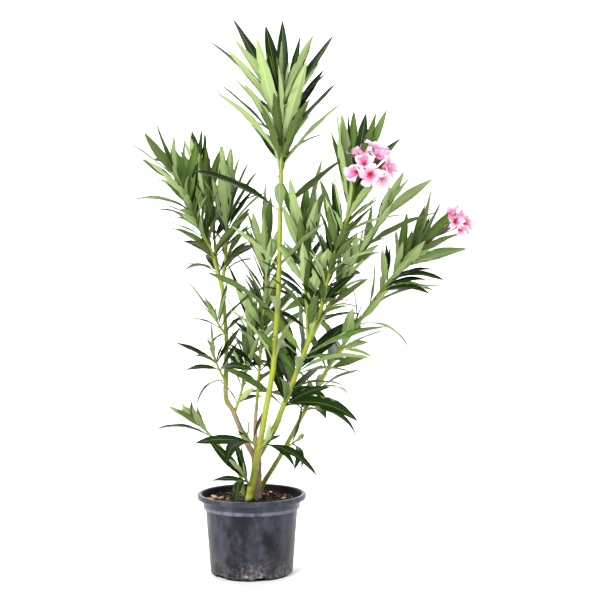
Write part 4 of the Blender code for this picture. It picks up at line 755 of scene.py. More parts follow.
def ring_quads(rows, ring):
    """Quads between the rings of a grid of `rows` closed rings, each of `ring` points."""
    start = np.arange(rows - 1)[:, None] * ring
    here, after = start + np.arange(ring), start + (np.arange(ring) + 1) % ring
    return np.stack([here, after, after + ring, here + ring], axis=-1).reshape(-1, 4)


def pole_fans(rows, ring):
    """Triangles from the first ring to the pole before it, and from the last ring to the pole after it.

    The two poles are the points that follow the grid.
    """
    here, after = np.arange(ring), (np.arange(ring) + 1) % ring
    last, pole = (rows - 1) * ring, np.full(ring, rows * ring)
    first_fan = np.stack([pole, after, here], axis=-1)
    return np.vstack([first_fan, np.stack([pole + 1, last + here, last + after], axis=-1)])


def repeated(faces, copies, points_each):
    """The same faces for each of several copies whose points follow one another."""
    return (faces[None] + np.arange(copies)[:, None, None] * points_each).reshape(-1, faces.shape[1])


def shell_faces(rows, ring, copies=1, points_each=0):
    """Faces of one or several closed shells, each `rows` rings of `ring` points and then two poles."""
    return [repeated(part, copies, points_each) for part in (ring_quads(rows, ring), pole_fans(rows, ring))]


def waves(points, wavelength, seed, number=14):
    """A smooth random height: the mean of sine waves that run through space in random directions."""
    draws = np.random.default_rng(seed)
    runs = draws.normal(size=(number, 3))
    reach = np.linalg.norm(runs, axis=1)[:, None]
    runs *= math.tau / wavelength * draws.uniform(0.6, 1.5, (number, 1)) / reach
    phases = draws.uniform(0, math.tau, number)
    return np.sin(points @ runs.T + phases).mean(axis=-1) * math.sqrt(number)


def resampled(points, radii, step):
    """The line again with a point every `step`, and the radii there."""
    marks = along(points)
    total = np.linalg.norm(np.diff(points, axis=0), axis=1).sum()
    shares = np.linspace(0, 1, max(int(total / step), 4))
    line = np.stack([np.interp(shares, marks, points[:, k]) for k in range(3)], axis=1)
    return line, np.interp(shares, marks, radii), shares * total


def cross_frames(line):
    """Two unit vectors square to the line at each of its points: the first is square to +Y as well."""
    tangent = units(np.gradient(line, axis=0))
    east = units(np.cross(tangent, (0.0, 1.0, 0.0)))
    return east, np.cross(tangent, east)


def swept(line, radii):
    """Rings round a line: point (u, v) = line(u) + radius(u, v) * (cos v * east + sin v * north)."""
    east, north = cross_frames(line)
    turn = np.linspace(0, math.tau, radii.shape[1], endpoint=False)
    ring = np.cos(turn)[None, :, None] * east[:, None] + np.sin(turn)[None, :, None] * north[:, None]
    return line[:, None] + radii[..., None] * ring


def rod(points, radii, sides):
    """Points and faces of a plain closed rod: a swept ring with a pole at each end."""
    points = np.asarray(points, dtype=float)
    grid = swept(points, np.repeat(np.asarray(radii, dtype=float)[:, None], sides, axis=1))
    faces = [face for part in shell_faces(len(points), sides) for face in part.tolist()]
    return [*map(tuple, grid.reshape(-1, 3)), tuple(points[0]), tuple(points[-1])], faces


def rounded(corners, reaches, steps=5):
    """A profile whose corners are rounded: each becomes a quadratic arc that starts `reach` before it."""
    corners = np.array(corners, dtype=float)
    share = np.linspace(0, 1, steps)[:, None]
    line = [corners[:1]]
    for before, corner, after, reach in zip(corners, corners[1:], corners[2:], reaches):
        start, stop = corner + reach * unit(before - corner), corner + reach * unit(after - corner)
        line.append(arc(start, corner, stop, share))
    return np.vstack([*line, corners[-1:]])


# ---------------------------------------------------------------- finishes
def new_finish(name):
    """An empty Principled material with its tree and shader."""
    made = bpy.data.materials.new(name)
    made.use_nodes = True
    return made, made.node_tree, made.node_tree.nodes["Principled BSDF"]


def feed(socket, value):
    """Set a socket to a value, or link it to an output."""
    if isinstance(value, bpy.types.NodeSocket):
        socket.id_data.links.new(value, socket)
    else:
        socket.default_value = value


def feed_all(made, **sockets):
    for key, value in sockets.items():
        feed(made.inputs[key.replace("_", " ")], value)


def plain_finish(name, colour, roughness, sheen=0.0, gloss=0.5):
    """One plain base colour."""
    made, _, shader = new_finish(name)
    made.diffuse_color = (*colour, 1.0)
    feed_all(shader, Base_Color=(*colour, 1.0), Roughness=roughness)
    feed_all(shader, Specular_IOR_Level=gloss, Sheen_Weight=sheen)
    return made


def node(tree, kind, settings=None, **sockets):
    """A node with its settings, and its sockets set to values or linked to outputs."""
    made = tree.nodes.new("ShaderNode" + kind)
    for key, value in (settings or {}).items():
        setattr(made, key, value)
    feed_all(made, **sockets)
    return made


def stretched(tree, stretch=(1.0, 1.0, 1.0)):
    """Object coordinates, stretched."""
    spot = node(tree, "TexCoord").outputs["Object"]
    return node(tree, "Mapping", Vector=spot, Scale=stretch).outputs["Vector"]


def speckle(tree, scale, stretch=(1.0, 1.0, 1.0), detail=4.0, rough=0.6):
    """Noise on Object coordinates: `scale` is the count of cells in a metre."""
    spot = stretched(tree, stretch)
    made = node(tree, "TexNoise", Vector=spot, Scale=scale, Detail=detail, Roughness=rough)
    return made.outputs["Fac"]


def between(tree, value, low, high, start=0.0, stop=1.0):
    """The value's way from low to high, as start to stop, held there outside."""
    made = node(tree, "MapRange", Value=value, From_Min=low, From_Max=high, To_Min=start, To_Max=stop)
    return made.outputs["Result"]


def reckon(tree, operation, first, second):
    made = node(tree, "Math", {"operation": operation})
    feed(made.inputs[0], first)
    feed(made.inputs[1], second)
    return made.outputs[0]


def blended(tree, share, *colours):
    """Two colours mixed by a share."""
    made = node(tree, "Mix", {"data_type": "RGBA"})
    feed(made.inputs[0], share)
    for socket, colour in zip(made.inputs[6:8], colours):
        feed(socket, colour if isinstance(colour, bpy.types.NodeSocket) else (*colour, 1.0))
    return made.outputs[2]


def relief(tree, shader, height, depth, strength=1.0):
    made = node(tree, "Bump", Height=height, Distance=depth, Strength=strength)
    feed(shader.inputs["Normal"], made.outputs["Normal"])


def along_axis(tree, axis):
    """The point's X, Y or Z."""
    spot = node(tree, "TexCoord").outputs["Object"]
    return node(tree, "SeparateXYZ", Vector=spot).outputs[axis]


def worn_plastic(pot):
    """Dark plastic with a dusty film, whose colour also makes a painted highlight on the collar's ridge and
    along the rim's lip, and earth and lime near the foot.
    """
    made, tree, shader = new_finish("worn_dark_plastic")
    plus, times = partial(reckon, tree, "ADD"), partial(reckon, tree, "MULTIPLY")
    up = along_axis(tree, "Z")
    cloud = speckle(tree, 32.0, (1.0, 1.0, 0.6), 6.0, 0.66)
    grain = speckle(tree, 420.0, detail=3.0)
    scuffs = speckle(tree, 210.0, (1.0, 1.0, 0.35), 5.0, 0.7)
    streaks = speckle(tree, 70.0, (1.0, 1.0, 0.05), 3.0)
    film = times(between(tree, cloud, 0.44, 0.70, 0.0, 0.42), between(tree, streaks, 0.35, 0.65, 0.65, 1.1))
    film = plus(film, between(tree, scuffs, 0.58, 0.74, 0.0, 0.20))
    ledge = pot.height - pot.rim_depth - pot.collar_depth
    on_collar = between(tree, up, ledge - 0.0005, ledge + 0.001, 0.0, 0.15)
    # Painted highlight: the band of the collar's ridge takes much more of the film's colour, broken up by the
    # scuffs.
    ridge_highlight = times(on_collar, between(tree, up, ledge + 0.0078, ledge + 0.0060, 0.0, 4.4))
    worn = times(ridge_highlight, between(tree, scuffs, 0.34, 0.60, 0.15, 1.35))
    film = plus(film, plus(on_collar, worn))
    # Dust specks and a painted highlight along the rim's top edge, in the film's colour.
    lip_dust_and_highlight = between(tree, up, pot.height - 0.0022, pot.height - 0.0008, 0.0, 0.34)
    film = plus(film, times(lip_dust_and_highlight, between(tree, cloud, 0.42, 0.62, 0.1, 1.0)))
    colour = blended(tree, film, pot.plastic, pot.haze)
    low_down = between(tree, up, 0.062, 0.010)
    smear = between(tree, speckle(tree, 55.0, (1.0, 1.0, 0.8), 6.0, 0.7), 0.46, 0.66, 0.0, 0.85)
    colour = blended(tree, times(low_down, smear), colour, pot.earth)
    low_down = between(tree, up, 0.036, 0.006)
    aside = reckon(tree, "ABSOLUTE", reckon(tree, "SUBTRACT", along_axis(tree, "X"), 0.006), 0.0)
    patch = between(tree, speckle(tree, 24.0, detail=2.0), 0.44, 0.60, 0.05, 0.45)
    patch = reckon(tree, "MAXIMUM", patch, between(tree, aside, 0.034, 0.012))
    marks = between(tree, speckle(tree, 170.0, detail=8.0, rough=0.78), 0.50, 0.66)
    marks = times(low_down, times(patch, marks))
    colour = blended(tree, marks, colour, pot.lime)
    rough = plus(between(tree, cloud, 0.38, 0.68, 0.30, 0.52), times(marks, 0.4))
    feed_all(shader, Base_Color=colour, Roughness=rough, Specular_IOR_Level=0.22)
    relief(tree, shader, plus(grain, times(streaks, 0.25)), 0.0003, 0.3)
    return made


def inner_plastic(pot):
    """The clean inner wall, a little dusty."""
    made, tree, shader = new_finish("inner_dark_plastic")
    dust = between(tree, speckle(tree, 240.0, detail=6.0, rough=0.7), 0.5, 0.75, 0.0, 0.35)
    colour = blended(tree, dust, pot.inner, [0.5 * part for part in pot.haze])
    feed_all(shader, Base_Color=colour, Roughness=0.6, Specular_IOR_Level=0.12)
    return made


def damp_soil(soil):
    made, tree, shader = new_finish("damp_potting_soil")
    patches = speckle(tree, 160.0, detail=6.0, rough=0.7)
    colour = blended(tree, between(tree, patches, 0.42, 0.66), soil.damp, soil.dry)
    feed_all(shader, Base_Color=colour, Roughness=0.92, Specular_IOR_Level=0.1)
    relief(tree, shader, speckle(tree, 500.0, detail=5.0), 0.001, 0.8)
    return made


def bark_finish(bark):
    """Bark that goes from tan and grey to green and lime by the mesh's own `greenness`."""
    made, tree, shader = new_finish("oleander_bark")
    plus = partial(reckon, tree, "ADD")
    age = node(tree, "Attribute", {"attribute_name": "greenness"}).outputs["Fac"]
    patches = speckle(tree, 130.0, (1.0, 1.0, 0.35), 5.0, 0.65)
    fine = speckle(tree, 700.0, (1.0, 1.0, 0.25), 4.0)
    old = blended(tree, between(tree, patches, 0.40, 0.62), bark.tan, bark.grey)
    old = blended(tree, between(tree, fine, 0.50, 0.75, 0.0, 0.55), old, bark.crack)
    young = blended(tree, between(tree, age, 0.55, 1.0), bark.green, bark.lime)
    flecks = between(tree, speckle(tree, 520.0, (1.0, 1.0, 0.6), 2.0), 0.62, 0.72, 0.0, 0.5)
    young = blended(tree, flecks, young, bark.fleck)
    shift = plus(age, between(tree, patches, 0.3, 0.7, -0.22, 0.22))
    colour = blended(tree, between(tree, shift, 0.28, 0.52), old, young)
    feed_all(shader, Base_Color=colour, Roughness=between(tree, age, 0.2, 0.7, 0.85, 0.48))
    relief(tree, shader, plus(fine, patches), 0.0004, 0.5)
    return made


# ---------------------------------------------------------------- pot
FIRST_NOTCH = math.radians(44)  # where the first drain notch stands
POT_COLUMNS = 288  # faces round the pot


def notch_height(pot, turn):
    """Height of the pot's open foot at each turn: flat-topped arches h * (1 - s^4)^(1/2) at the notches."""
    pitch = math.tau / pot.notches
    off = (turn - FIRST_NOTCH + pitch / 2) % pitch - pitch / 2
    share = np.abs(off) * pot.foot_radius / (pot.notch_width / 2)
    return pot.notch_height * np.sqrt(np.clip(1 - share**4, 0, 1))


def pot_profile(pot):
    """The pot's section from the middle of its underside, up the outside, over the rim and down inside."""
    under_rim = pot.height - pot.rim_depth
    ledge = under_rim - pot.collar_depth
    shelf = pot.foot_radius - pot.notch_depth
    foot, body, inner = pot.foot_radius, pot.body_radius, pot.collar_radius - pot.wall
    corners = (
        (0.0, 0.0018), (shelf - 0.0040, 0.0018), (shelf - 0.0030, 0.0), (shelf, 0.0), (shelf + 0.0003, 0.0),
        (foot - 0.0024, 0.0), (foot, 0.0034), (body, ledge), (body + 0.0036, ledge + 0.0012),
        (body + 0.0042, ledge + 0.0062), (body + 0.0036, ledge + 0.0078), (pot.collar_radius, under_rim),
        (pot.rim_radius - 0.0022, under_rim), (pot.rim_radius - 0.0002, under_rim + 0.0012),
        (pot.rim_radius, pot.height - 0.0018), (pot.rim_radius - 0.0020, pot.height),
        (pot.rim_radius - 0.0060, pot.height - 0.0002), (inner + 0.0006, pot.height - 0.0022),
        (inner, under_rim), (body - pot.wall, ledge), (foot - pot.wall - 0.0010, pot.floor), (0.0, pot.floor),
    )
    reaches = [0.0004] * (len(corners) - 2)  # how far each corner is rounded, but for these
    reaches[3:6] = [0.0, 0.0008, 0.0012]
    reaches[7:11] = [0.0010, 0.0012, 0.0010, 0.0008]
    reaches[14:17] = [0.0007, 0.0016, 0.0010]
    return rounded(corners, reaches)


def make_pot(pot):
    """Point (u, v) = (r(u) cos v, r(u) sin v, z(u, v)), with z lifted to the notches' arches at the foot."""
    profile, columns = pot_profile(pot), POT_COLUMNS
    turn = np.linspace(0, math.tau, columns, endpoint=False)
    radius, level = profile[1:-1, :1], profile[1:-1, 1:]
    arch = notch_height(pot, turn)[None]
    shelf = pot.foot_radius - pot.notch_depth
    inside = np.arange(len(radius))[:, None] > len(radius) * 0.7
    lifted = np.where(inside, np.maximum(level, arch + pot.floor), np.maximum(level, arch))
    level = np.where(radius > shelf + 0.0001 - 0.001 * inside, lifted, level)
    radius = np.broadcast_to(radius, level.shape)
    grid = np.stack([radius * np.cos(turn), radius * np.sin(turn), level], axis=-1)
    rows = len(grid)
    points = np.vstack([grid.reshape(-1, 3), (0, 0, profile[0, 1]), (0, 0, profile[-1, 1])])
    faces = shell_faces(rows, columns)
    kinds = 1 * (np.arange(rows - 1) > np.argmax(profile[1:-1, 1]) + 2)
    # Under the pot and in the drain notches' recesses: a near-black finish, which is painted shade.
    kinds[:np.argmax(profile[1:-1, 0] > pot.foot_radius - 0.0015)] = 2
    shares = np.concatenate([np.repeat(kinds, columns), np.repeat((2, 1), columns)])
    # Near-black painted shade for the underside and the notches' recesses.
    underside = plain_finish("underside", (0.001, 0.001, 0.001), 0.9, gloss=0.0)
    skins = [worn_plastic(pot), inner_plastic(pot), underside]
    made = add_piece("grower_pot", points, faces, skins, shares, math.radians(40))
    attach(made, "root")
    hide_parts("pot")


# ---------------------------------------------------------------- soil
SOIL_EDGE = 0.0838  # radius at which the soil meets the wall
SOIL_FOOT = SOIL_LEVEL - 0.012  # underside of the soil's skin


def soil_level(soil, x, y):
    """Height of the soil: flat in the middle, falling off towards the wall, with lumps of two sizes."""
    spot = np.stack([x, y, np.zeros_like(x)], axis=-1)
    out = np.sqrt(x**2 + y**2) / SOIL_EDGE
    lumps = waves(spot, 0.016, 3) + 0.5 * waves(spot, 0.006, 4)
    return SOIL_LEVEL - 0.0008 - soil.dip * out**3 + soil.lumps * 0.45 * lumps


def make_soil(soil):
    """A disc with a lumpy top: point (u, v) = (r(u) cos v, r(u) sin v, soil level there), closed below."""
    rows, columns = 54, 150
    turn = np.linspace(0, math.tau, columns, endpoint=False)
    radius = SOIL_EDGE * np.linspace(1, 0, rows, endpoint=False)[:, None]
    x, y = radius * np.cos(turn), radius * np.sin(turn)
    top = np.stack([x, y, soil_level(soil, x, y)], axis=-1)
    bed = np.stack([0.93 * x[:1], 0.93 * y[:1], np.full_like(x[:1], SOIL_FOOT)], axis=-1)
    grid = np.concatenate([bed, top])
    middle = (0, 0, float(soil_level(soil, np.zeros(1), np.zeros(1))[0]))
    points = np.vstack([grid.reshape(-1, 3), (0, 0, SOIL_FOOT), middle])
    faces = shell_faces(rows + 1, columns)
    made = add_piece("soil_surface", points, faces, [damp_soil(soil)])
    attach(made, "root")
    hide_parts("soil")


def scattered(soil, copies, seed, sizes, flatness, boxy, placed=()):
    """Lumps strewn over the soil: each a ball of 3 rings, squared off by `boxy`, stretched and turned.

    The first ones lie where `placed` says, as (x, y, half length).
    Point (a, b) of a lump = turn * (size * signed powers of (cos a cos b, cos a sin b, sin a)).
    """
    draws = np.random.default_rng(seed)
    ring = 7
    a = np.radians((-48, 0, 48))[:, None]
    b = np.linspace(0, math.tau, ring, endpoint=False)[None]
    high = np.broadcast_to(np.sin(a), (3, ring))
    ball = np.stack([np.cos(a) * np.cos(b), np.cos(a) * np.sin(b), high], axis=-1)
    ball = np.vstack([ball.reshape(-1, 3), (0, 0, -1), (0, 0, 1)])
    ball = np.sign(ball) * np.abs(ball) ** boxy
    half = draws.uniform(*sizes, (copies, 1)) * np.stack(
        [np.ones(copies), draws.uniform(0.45, 0.85, copies), draws.uniform(*flatness, copies)], axis=-1)
    for number, (*_, reach) in enumerate(placed):
        half[number] = reach * np.array((1.0, 0.5, 0.3))
    shape = ball[None] * half[:, None] * (1 + 0.16 * draws.uniform(-1, 1, (copies, len(ball), 1)))
    turn, lean = draws.uniform(0, math.tau, copies), draws.uniform(-0.35, 0.35, copies)
    zero, one = np.zeros(copies), np.ones(copies)
    cos, sin = np.cos(turn), np.sin(turn)
    spin = np.array([[cos, -sin, zero], [sin, cos, zero], [zero, zero, one]])
    cos, sin = np.cos(lean), np.sin(lean)
    tip = np.array([[cos, zero, sin], [zero, one, zero], [-sin, zero, cos]])
    shape = np.einsum("ijn,jkn,npk->npi", spin, tip, shape)
    out, way = SOIL_EDGE * np.sqrt(draws.uniform(0.01, 0.92, copies)), draws.uniform(0, math.tau, copies)
    x, y = out * np.cos(way), out * np.sin(way)
    for number, (at_x, at_y, _) in enumerate(placed):
        x[number], y[number] = at_x, at_y
    spot = np.stack([x, y, soil_level(soil, x, y) + half[:, 2] * 0.45], axis=-1)
    return shape + spot[:, None], shell_faces(3, ring, copies, len(ball))


def dealt(faces, copies, kinds, seed, weights, first=()):
    """A finish for each copy, dealt at random but for the first ones, spread over its faces."""
    shades = np.random.default_rng(seed).choice(kinds, copies, p=weights)
    shades[:len(first)] = first
    return np.concatenate([np.repeat(shades, len(part) // copies) for part in faces])


LARGE_CHIPS = (  # x, y, half length, finish
    (-0.066, 0.016, 0.0085, 2), (-0.054, -0.006, 0.0100, 2), (-0.070, -0.004, 0.0060, 2),
    (0.020, 0.036, 0.0055, 3), (0.027, 0.040, 0.0040, 3), (0.012, 0.034, 0.0035, 3),
)
GREY_CRUMB = (0.045, 0.038, 0.034)


def make_litter(soil):
    crumbs, faces = scattered(soil, soil.crumbs, 21, (0.0007, 0.0022), (0.5, 0.9), 0.9)
    kinds = (("damp", soil.damp), ("dry", soil.dry), ("grey", GREY_CRUMB))
    finishes = [plain_finish(f"{kind}_crumb", colour, 0.95, gloss=0.1) for kind, colour in kinds]
    shades = dealt(faces, soil.crumbs, 3, 22, (0.55, 0.30, 0.15))
    loose = add_piece("soil_crumbs", crumbs, faces, finishes, shades, math.radians(60))
    placed = [chip[:3] for chip in LARGE_CHIPS]
    chips, faces = scattered(soil, soil.chips, 31, (0.0014, 0.0052), (0.16, 0.40), 0.72, placed)
    kinds = (("dark", [0.35 * part for part in soil.chip], 0.9), ("bark", soil.chip, 0.85),
             ("pale", soil.pale_chip, 0.8), ("red", soil.red_chip, 0.8))
    finishes = [plain_finish(f"{kind}_chip", colour, roughness) for kind, colour, roughness in kinds]
    shades = dealt(faces, soil.chips, 4, 32, (0.66, 0.24, 0.09, 0.01), [kind for *_, kind in LARGE_CHIPS])
    bark = add_piece("bark_chips", chips, faces, finishes, shades, math.radians(40))
    for made in (loose, bark):
        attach(made, "root")


# ---------------------------------------------------------------- limbs
GREENNESS = {  # share of green in a limb's or shoot's bark at its foot, soon after it and at its tip
    "trunk": (0.02, 0.02, 0.10), "bough_left": (0.05, 0.05, 0.12), "bough_middle": (0.10, 0.12, 0.30),
    "bough_right": (0.04, 0.16, 0.80), "bough_left_upper": (0.34, 0.40, 0.84),
    "stem_front": (0.10, 0.88, 1.0), "stem_right": (0.25, 0.46, 0.86), "stem_low_left": (0.35, 0.50, 0.76),
    "dead_twig": (0.0, 0.0, 0.0), "foliage_front": (1.0, 1.0, 0.90), "foliage_right": (0.82, 0.84, 1.0),
    "foliage_right_low": (0.86, 0.88, 1.0),
}
YOUNG_SHOOT = (0.90, 0.90, 0.98)


def limb_skin(name, guide, radii, bark, sides, old, scars):
    """A limb's rings: radius (u, v) = r(u) + furrows or wrinkles + rings of three leaf scars.

    Furrows are random waves read at (r cos v, r sin v, u / 5), so they run along the limb. A ring of
    scars at u_k adds scar * exp(-((u - u_k) / 1.4 mm)^2) * (0.55 + 0.45 cos 3(v - v_k)).
    """
    draws = np.random.default_rng(sum(map(ord, name)))
    smooth = smooth_line(guide, 14)
    rough = np.interp(along(smooth), along(np.array(guide)), radii)
    sunk = smooth[0] - unit(smooth[1] - smooth[0]) * (0.010 if guide[0][2] == STEM_FOOT else 0.005)
    line, base, run = resampled(np.vstack([sunk, smooth]), np.append(rough[0], rough), bark.step)
    turn = np.linspace(0, math.tau, sides, endpoint=False)
    down = np.broadcast_to(run[:, None] / 5, (len(run), sides))
    spot = np.stack([base[:, None] * np.cos(turn), base[:, None] * np.sin(turn), down], axis=-1)
    skin = np.repeat(base[:, None], sides, axis=1)
    if old:
        ridges = 1 - 2 * np.abs(waves(spot, 0.006, 5)) / 1.6
        skin += bark.furrow * np.minimum(base[:, None] / 0.008, 1) * (ridges + 0.7 * waves(spot, 0.016, 6))
    else:
        skin += bark.wrinkle * (waves(spot, 0.004, 8) + waves(spot, 0.010, 9))
    knobs = np.exp(-((line[:, 2] - SOIL_LEVEL) / 0.012) ** 2)[:, None] * (guide[0][2] == STEM_FOOT)
    skin += 0.0016 * knobs * waves(spot * (1, 1, 4), 0.014, 7)
    for place_along in scars:
        ring = np.exp(-((run - place_along * run[-1]) / 0.0014) ** 2)[:, None]
        three = 0.55 + 0.45 * np.cos(3 * (turn - draws.uniform(0, 2)))
        skin += bark.scar * base[:, None] / 0.005 * ring * three
    ends = np.array([0.0, *np.ones(len(run) - 3), 0.75, 0.0])[:, None]
    grid = swept(line, skin * np.where(ends == 0, 0.02, ends))
    green = np.interp(run / run[-1], (0, 0.07, 1), GREENNESS.get(name, YOUNG_SHOOT))
    points = np.vstack([grid.reshape(-1, 3), line[0], line[-1]])
    green = np.concatenate([np.repeat(green, sides), green[[0, -1]]])
    return points, shell_faces(len(line), sides), green


def dress_limb(name, piece_name, made_of, bark, finish, sides, old, scars):
    points, faces, green = limb_skin(name, made_of.guide, made_of.radii, bark, sides, old, scars)
    made = add_piece(piece_name, points, faces, [finish], attributes={"greenness": green})
    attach(made, "root")
    return made


def make_limbs(bark):
    finish = bark_finish(bark)
    for name, limb in LIMBS.items():
        old = limb.bark == "old"
        reach = np.linalg.norm(np.diff(np.array(limb.guide), axis=0), axis=1).sum()
        scars = np.arange(0.12, 0.98, bark.scar_step / reach)
        made = dress_limb(name, f"{name}_bark", limb, bark, finish, bark.sides, old, scars)
        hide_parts(name)


def make_shoots(bark):
    finish = bark_finish(bark)
    for name, shoot in SHOOTS.items():
        scars = whorl_shares(shoot)
        made = dress_limb(name, f"{name}_shoot", shoot, bark, finish, bark.sides // 2, False, scars)
        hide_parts(name)


# ---------------------------------------------------------------- leaves
# A leaf's section as a ring, over the top and back below: share of the half width, and which lie below.
LEAF_ACROSS = (-1.0, -0.52, -0.05, 0.05, 0.52, 1.0, 0.50, 0.06, -0.06, -0.50)
LEAF_BELOW = (0, 0, 0, 0, 0, 0, 1, 1, 1, 1)
LEAF_RIB = (0, 0, 0, 0, 0, 0, 0, 1, 1, 0)
LEAF_BANDS = (0, 1, 2, 1, 0, 3, 3, 4, 3, 3)  # finish of each face: edge, middle, rib; below, rib below


def leaf_outline(share, petiole=0.07):
    """Half a leaf's width over its full width: a lance shape (sin(pi u^0.9))^0.85 / 2 after the stalk."""
    u = np.clip((share - petiole) / (1 - petiole), 0, 1)
    return 0.5 * np.sin(math.pi * u**0.9) ** 0.85


def leaf_skin(leaves, rows, thickness, rib, stalk, gutter, spread, seed):
    """All leaves at once as rings across their midribs, each closed to a point at root and tip.

    The midrib is a quadratic curve m(s) from root to tip. Ring point (s, t) = m(s) + side(s) * t * w(s) +
    normal(s) * (gutter * |t| * w(s) + wave - thickness below), where side turns slowly about the midrib.
    """
    draws = np.random.default_rng(seed)
    root, tip, bow, side = (np.array([leaf[k] for leaf in leaves])[:, None] for k in range(4))
    width = spread * np.array([leaf[4] for leaf in leaves])[:, None, None]
    number = len(leaves)
    s = (1 - np.cos(np.linspace(0.0, 0.985 * math.pi, rows))) / 2
    s = (0.35 * np.linspace(0, 0.985, rows) + 0.65 * s)[None, :, None]
    middle = (root + tip) / 2 + 2 * bow
    line = arc(root, middle, tip, s)
    tangent = units((1 - s) * (middle - root) + s * (tip - middle))
    side = units(side - tangent * (side * tangent).sum(-1, keepdims=True))
    normal = np.cross(side, tangent)
    twist = np.radians(draws.uniform(-26, 26, (number, 1, 1))) * (s - 0.4)
    cos, sin = np.cos(twist), np.sin(twist)
    side, normal = cos * side + sin * normal, cos * normal - sin * side
    half = np.maximum(width * leaf_outline(s), stalk * (1 - 0.75 * s))[..., None]
    across = np.array(LEAF_ACROSS)[:, None]
    below, ribbed = np.array(LEAF_BELOW)[:, None], np.array(LEAF_RIB)[:, None]
    each, s = (number, 1, 1, 1), s[..., None]
    phase = draws.uniform(0, math.tau, each)
    wave = 0.10 * np.sin(s * draws.uniform(9, 17, each) + phase + 2.2 * np.sign(across))
    fold = gutter * draws.uniform(0.5, 1.25, each)
    lift = half * np.abs(across) * (fold + wave * np.abs(across)) - half * 0.16 * across**4
    body = np.maximum(thickness, 0.5 * stalk * (1 - 3 * s))
    lift = lift - below * body - ribbed * (rib * (1 - 0.7 * s) + body * 0.4)
    grid = line[:, :, None] + side[:, :, None] * across * half + normal[:, :, None] * lift
    points = np.concatenate([grid.reshape(number, -1, 3), root, tip], axis=1)
    ring = len(LEAF_ACROSS)
    faces = shell_faces(rows, ring, number, points.shape[1])
    bands = np.array(LEAF_BANDS)
    return points, faces, np.tile(bands, (number, rows - 1)), np.tile(bands, (number, 2))


TIP_LEAVES = 6
TIP_RANK = 1.2  # a tip leaf is fresher than the topmost whorl, whose rank is 1
TIP_WIDTH = 0.62  # width of a tip leaf's blade, over the usual for its length


def tip_leaves(shoot, tube):
    """The small young leaves that stand round a shoot's growing tip, where it bears no bloom."""
    draws = np.random.default_rng(shoot.seed + 7)
    place_at, axis = at_share(tube.points, 1.0)
    east = unit(np.cross(axis, (0.0, 1.0, 0.0)))
    north = np.cross(axis, east)
    young = []
    for number in range(TIP_LEAVES):
        angle = number * GOLDEN_ANGLE + draws.uniform(0, 1)
        outward = math.cos(angle) * east + math.sin(angle) * north
        reach = shoot.lengths[1] * (0.62 - 0.085 * number)
        tilt = math.radians(15 - 2 * number)
        offset = reach * (math.cos(tilt) * axis + math.sin(tilt) * outward)
        start, roll = place_at - 0.002 * axis, draws.uniform(-0.5, 0.5)
        leaf = leaf_towards(start, tube.radii[-1], offset, axis, -0.02, roll)
        young.append((leaf._replace(width=leaf.width * TIP_WIDTH), TIP_RANK))
    return young


BARE = {"tuft_far_right": 0.45}  # share of a shoot that no filling leaves stand on
FILLED = {"foliage_front": 0, "crown_top": 3, "tuft_right_front": 3, "tuft_far_right": 3}
# Share of the leaves' length, degrees added to their tilts at foot and tip, and where they start.
FILLING = ((0.80, (8, 10), 0.12), (0.92, (-10, -5), 0.40), (0.66, (16, 14), 0.20))


def fillings(name):
    """How many fillings a mass takes: those named above, two for a tuft, one for open foliage and sprigs."""
    return FILLED.get(name, 2 if name.startswith("tuft") else 1)


def finer(name, shoot, number):
    """The same shoot with other whorls, which fill the gaps between the first ones."""
    share, more, start = FILLING[number]
    start = max(start, BARE.get(name, 0.0))
    return shoot._replace(
        span=(start, shoot.span[1] - 0.04),
        crowding=1.0,
        lengths=tuple(share * length for length in shoot.lengths),
        tilts=tuple(tilt + added for tilt, added in zip(shoot.tilts, more)),
        seed=shoot.seed + 1000 * (number + 1),
        leading=(),
    )


@lru_cache(maxsize=1)
def grown():
    """The shoots' lines and all their leaves, grown once."""
    tubes = {}
    for name, limb in LIMBS.items():
        tubes[name] = tube_of(limb, tubes, 3)
    waiting = dict(SHOOTS)
    while waiting:
        for name, shoot in list(waiting.items()):
            if not shoot.carries_on or shoot.carries_on in tubes:
                tubes[name] = tube_of(waiting.pop(name), tubes, 2)
    solids = {}
    for name in ("pot", "soil", *LIMBS):
        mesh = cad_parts[name].data
        solids[name] = [v.co[:] for v in mesh.vertices], [p.vertices[:] for p in mesh.polygons]
    for name, shoot in SHOOTS.items():
        solids[name] = rod(tubes[name].points, tubes[name].radii, 6)
    leaves = grow(SHOOTS, tubes, solids)
    for number in range(len(FILLING)):
        found = [(name, k, leaf) for name, kept in leaves.items() for k, (leaf, _) in enumerate(kept)]
        blades = {f"{name} {k}": blade(leaf) for name, k, leaf in found}
        named = [name for name in SHOOTS if number < fillings(name)]
        fuller = {name: finer(name, SHOOTS[name], number) for name in named}
        for name, more in grow(fuller, tubes, {**solids, **blades}).items():
            leaves[name] += more
    for name, shoot in SHOOTS.items():
        if not shoot.bloom:
            leaves[name] += tip_leaves(shoot, tubes[name])
    return tubes, leaves


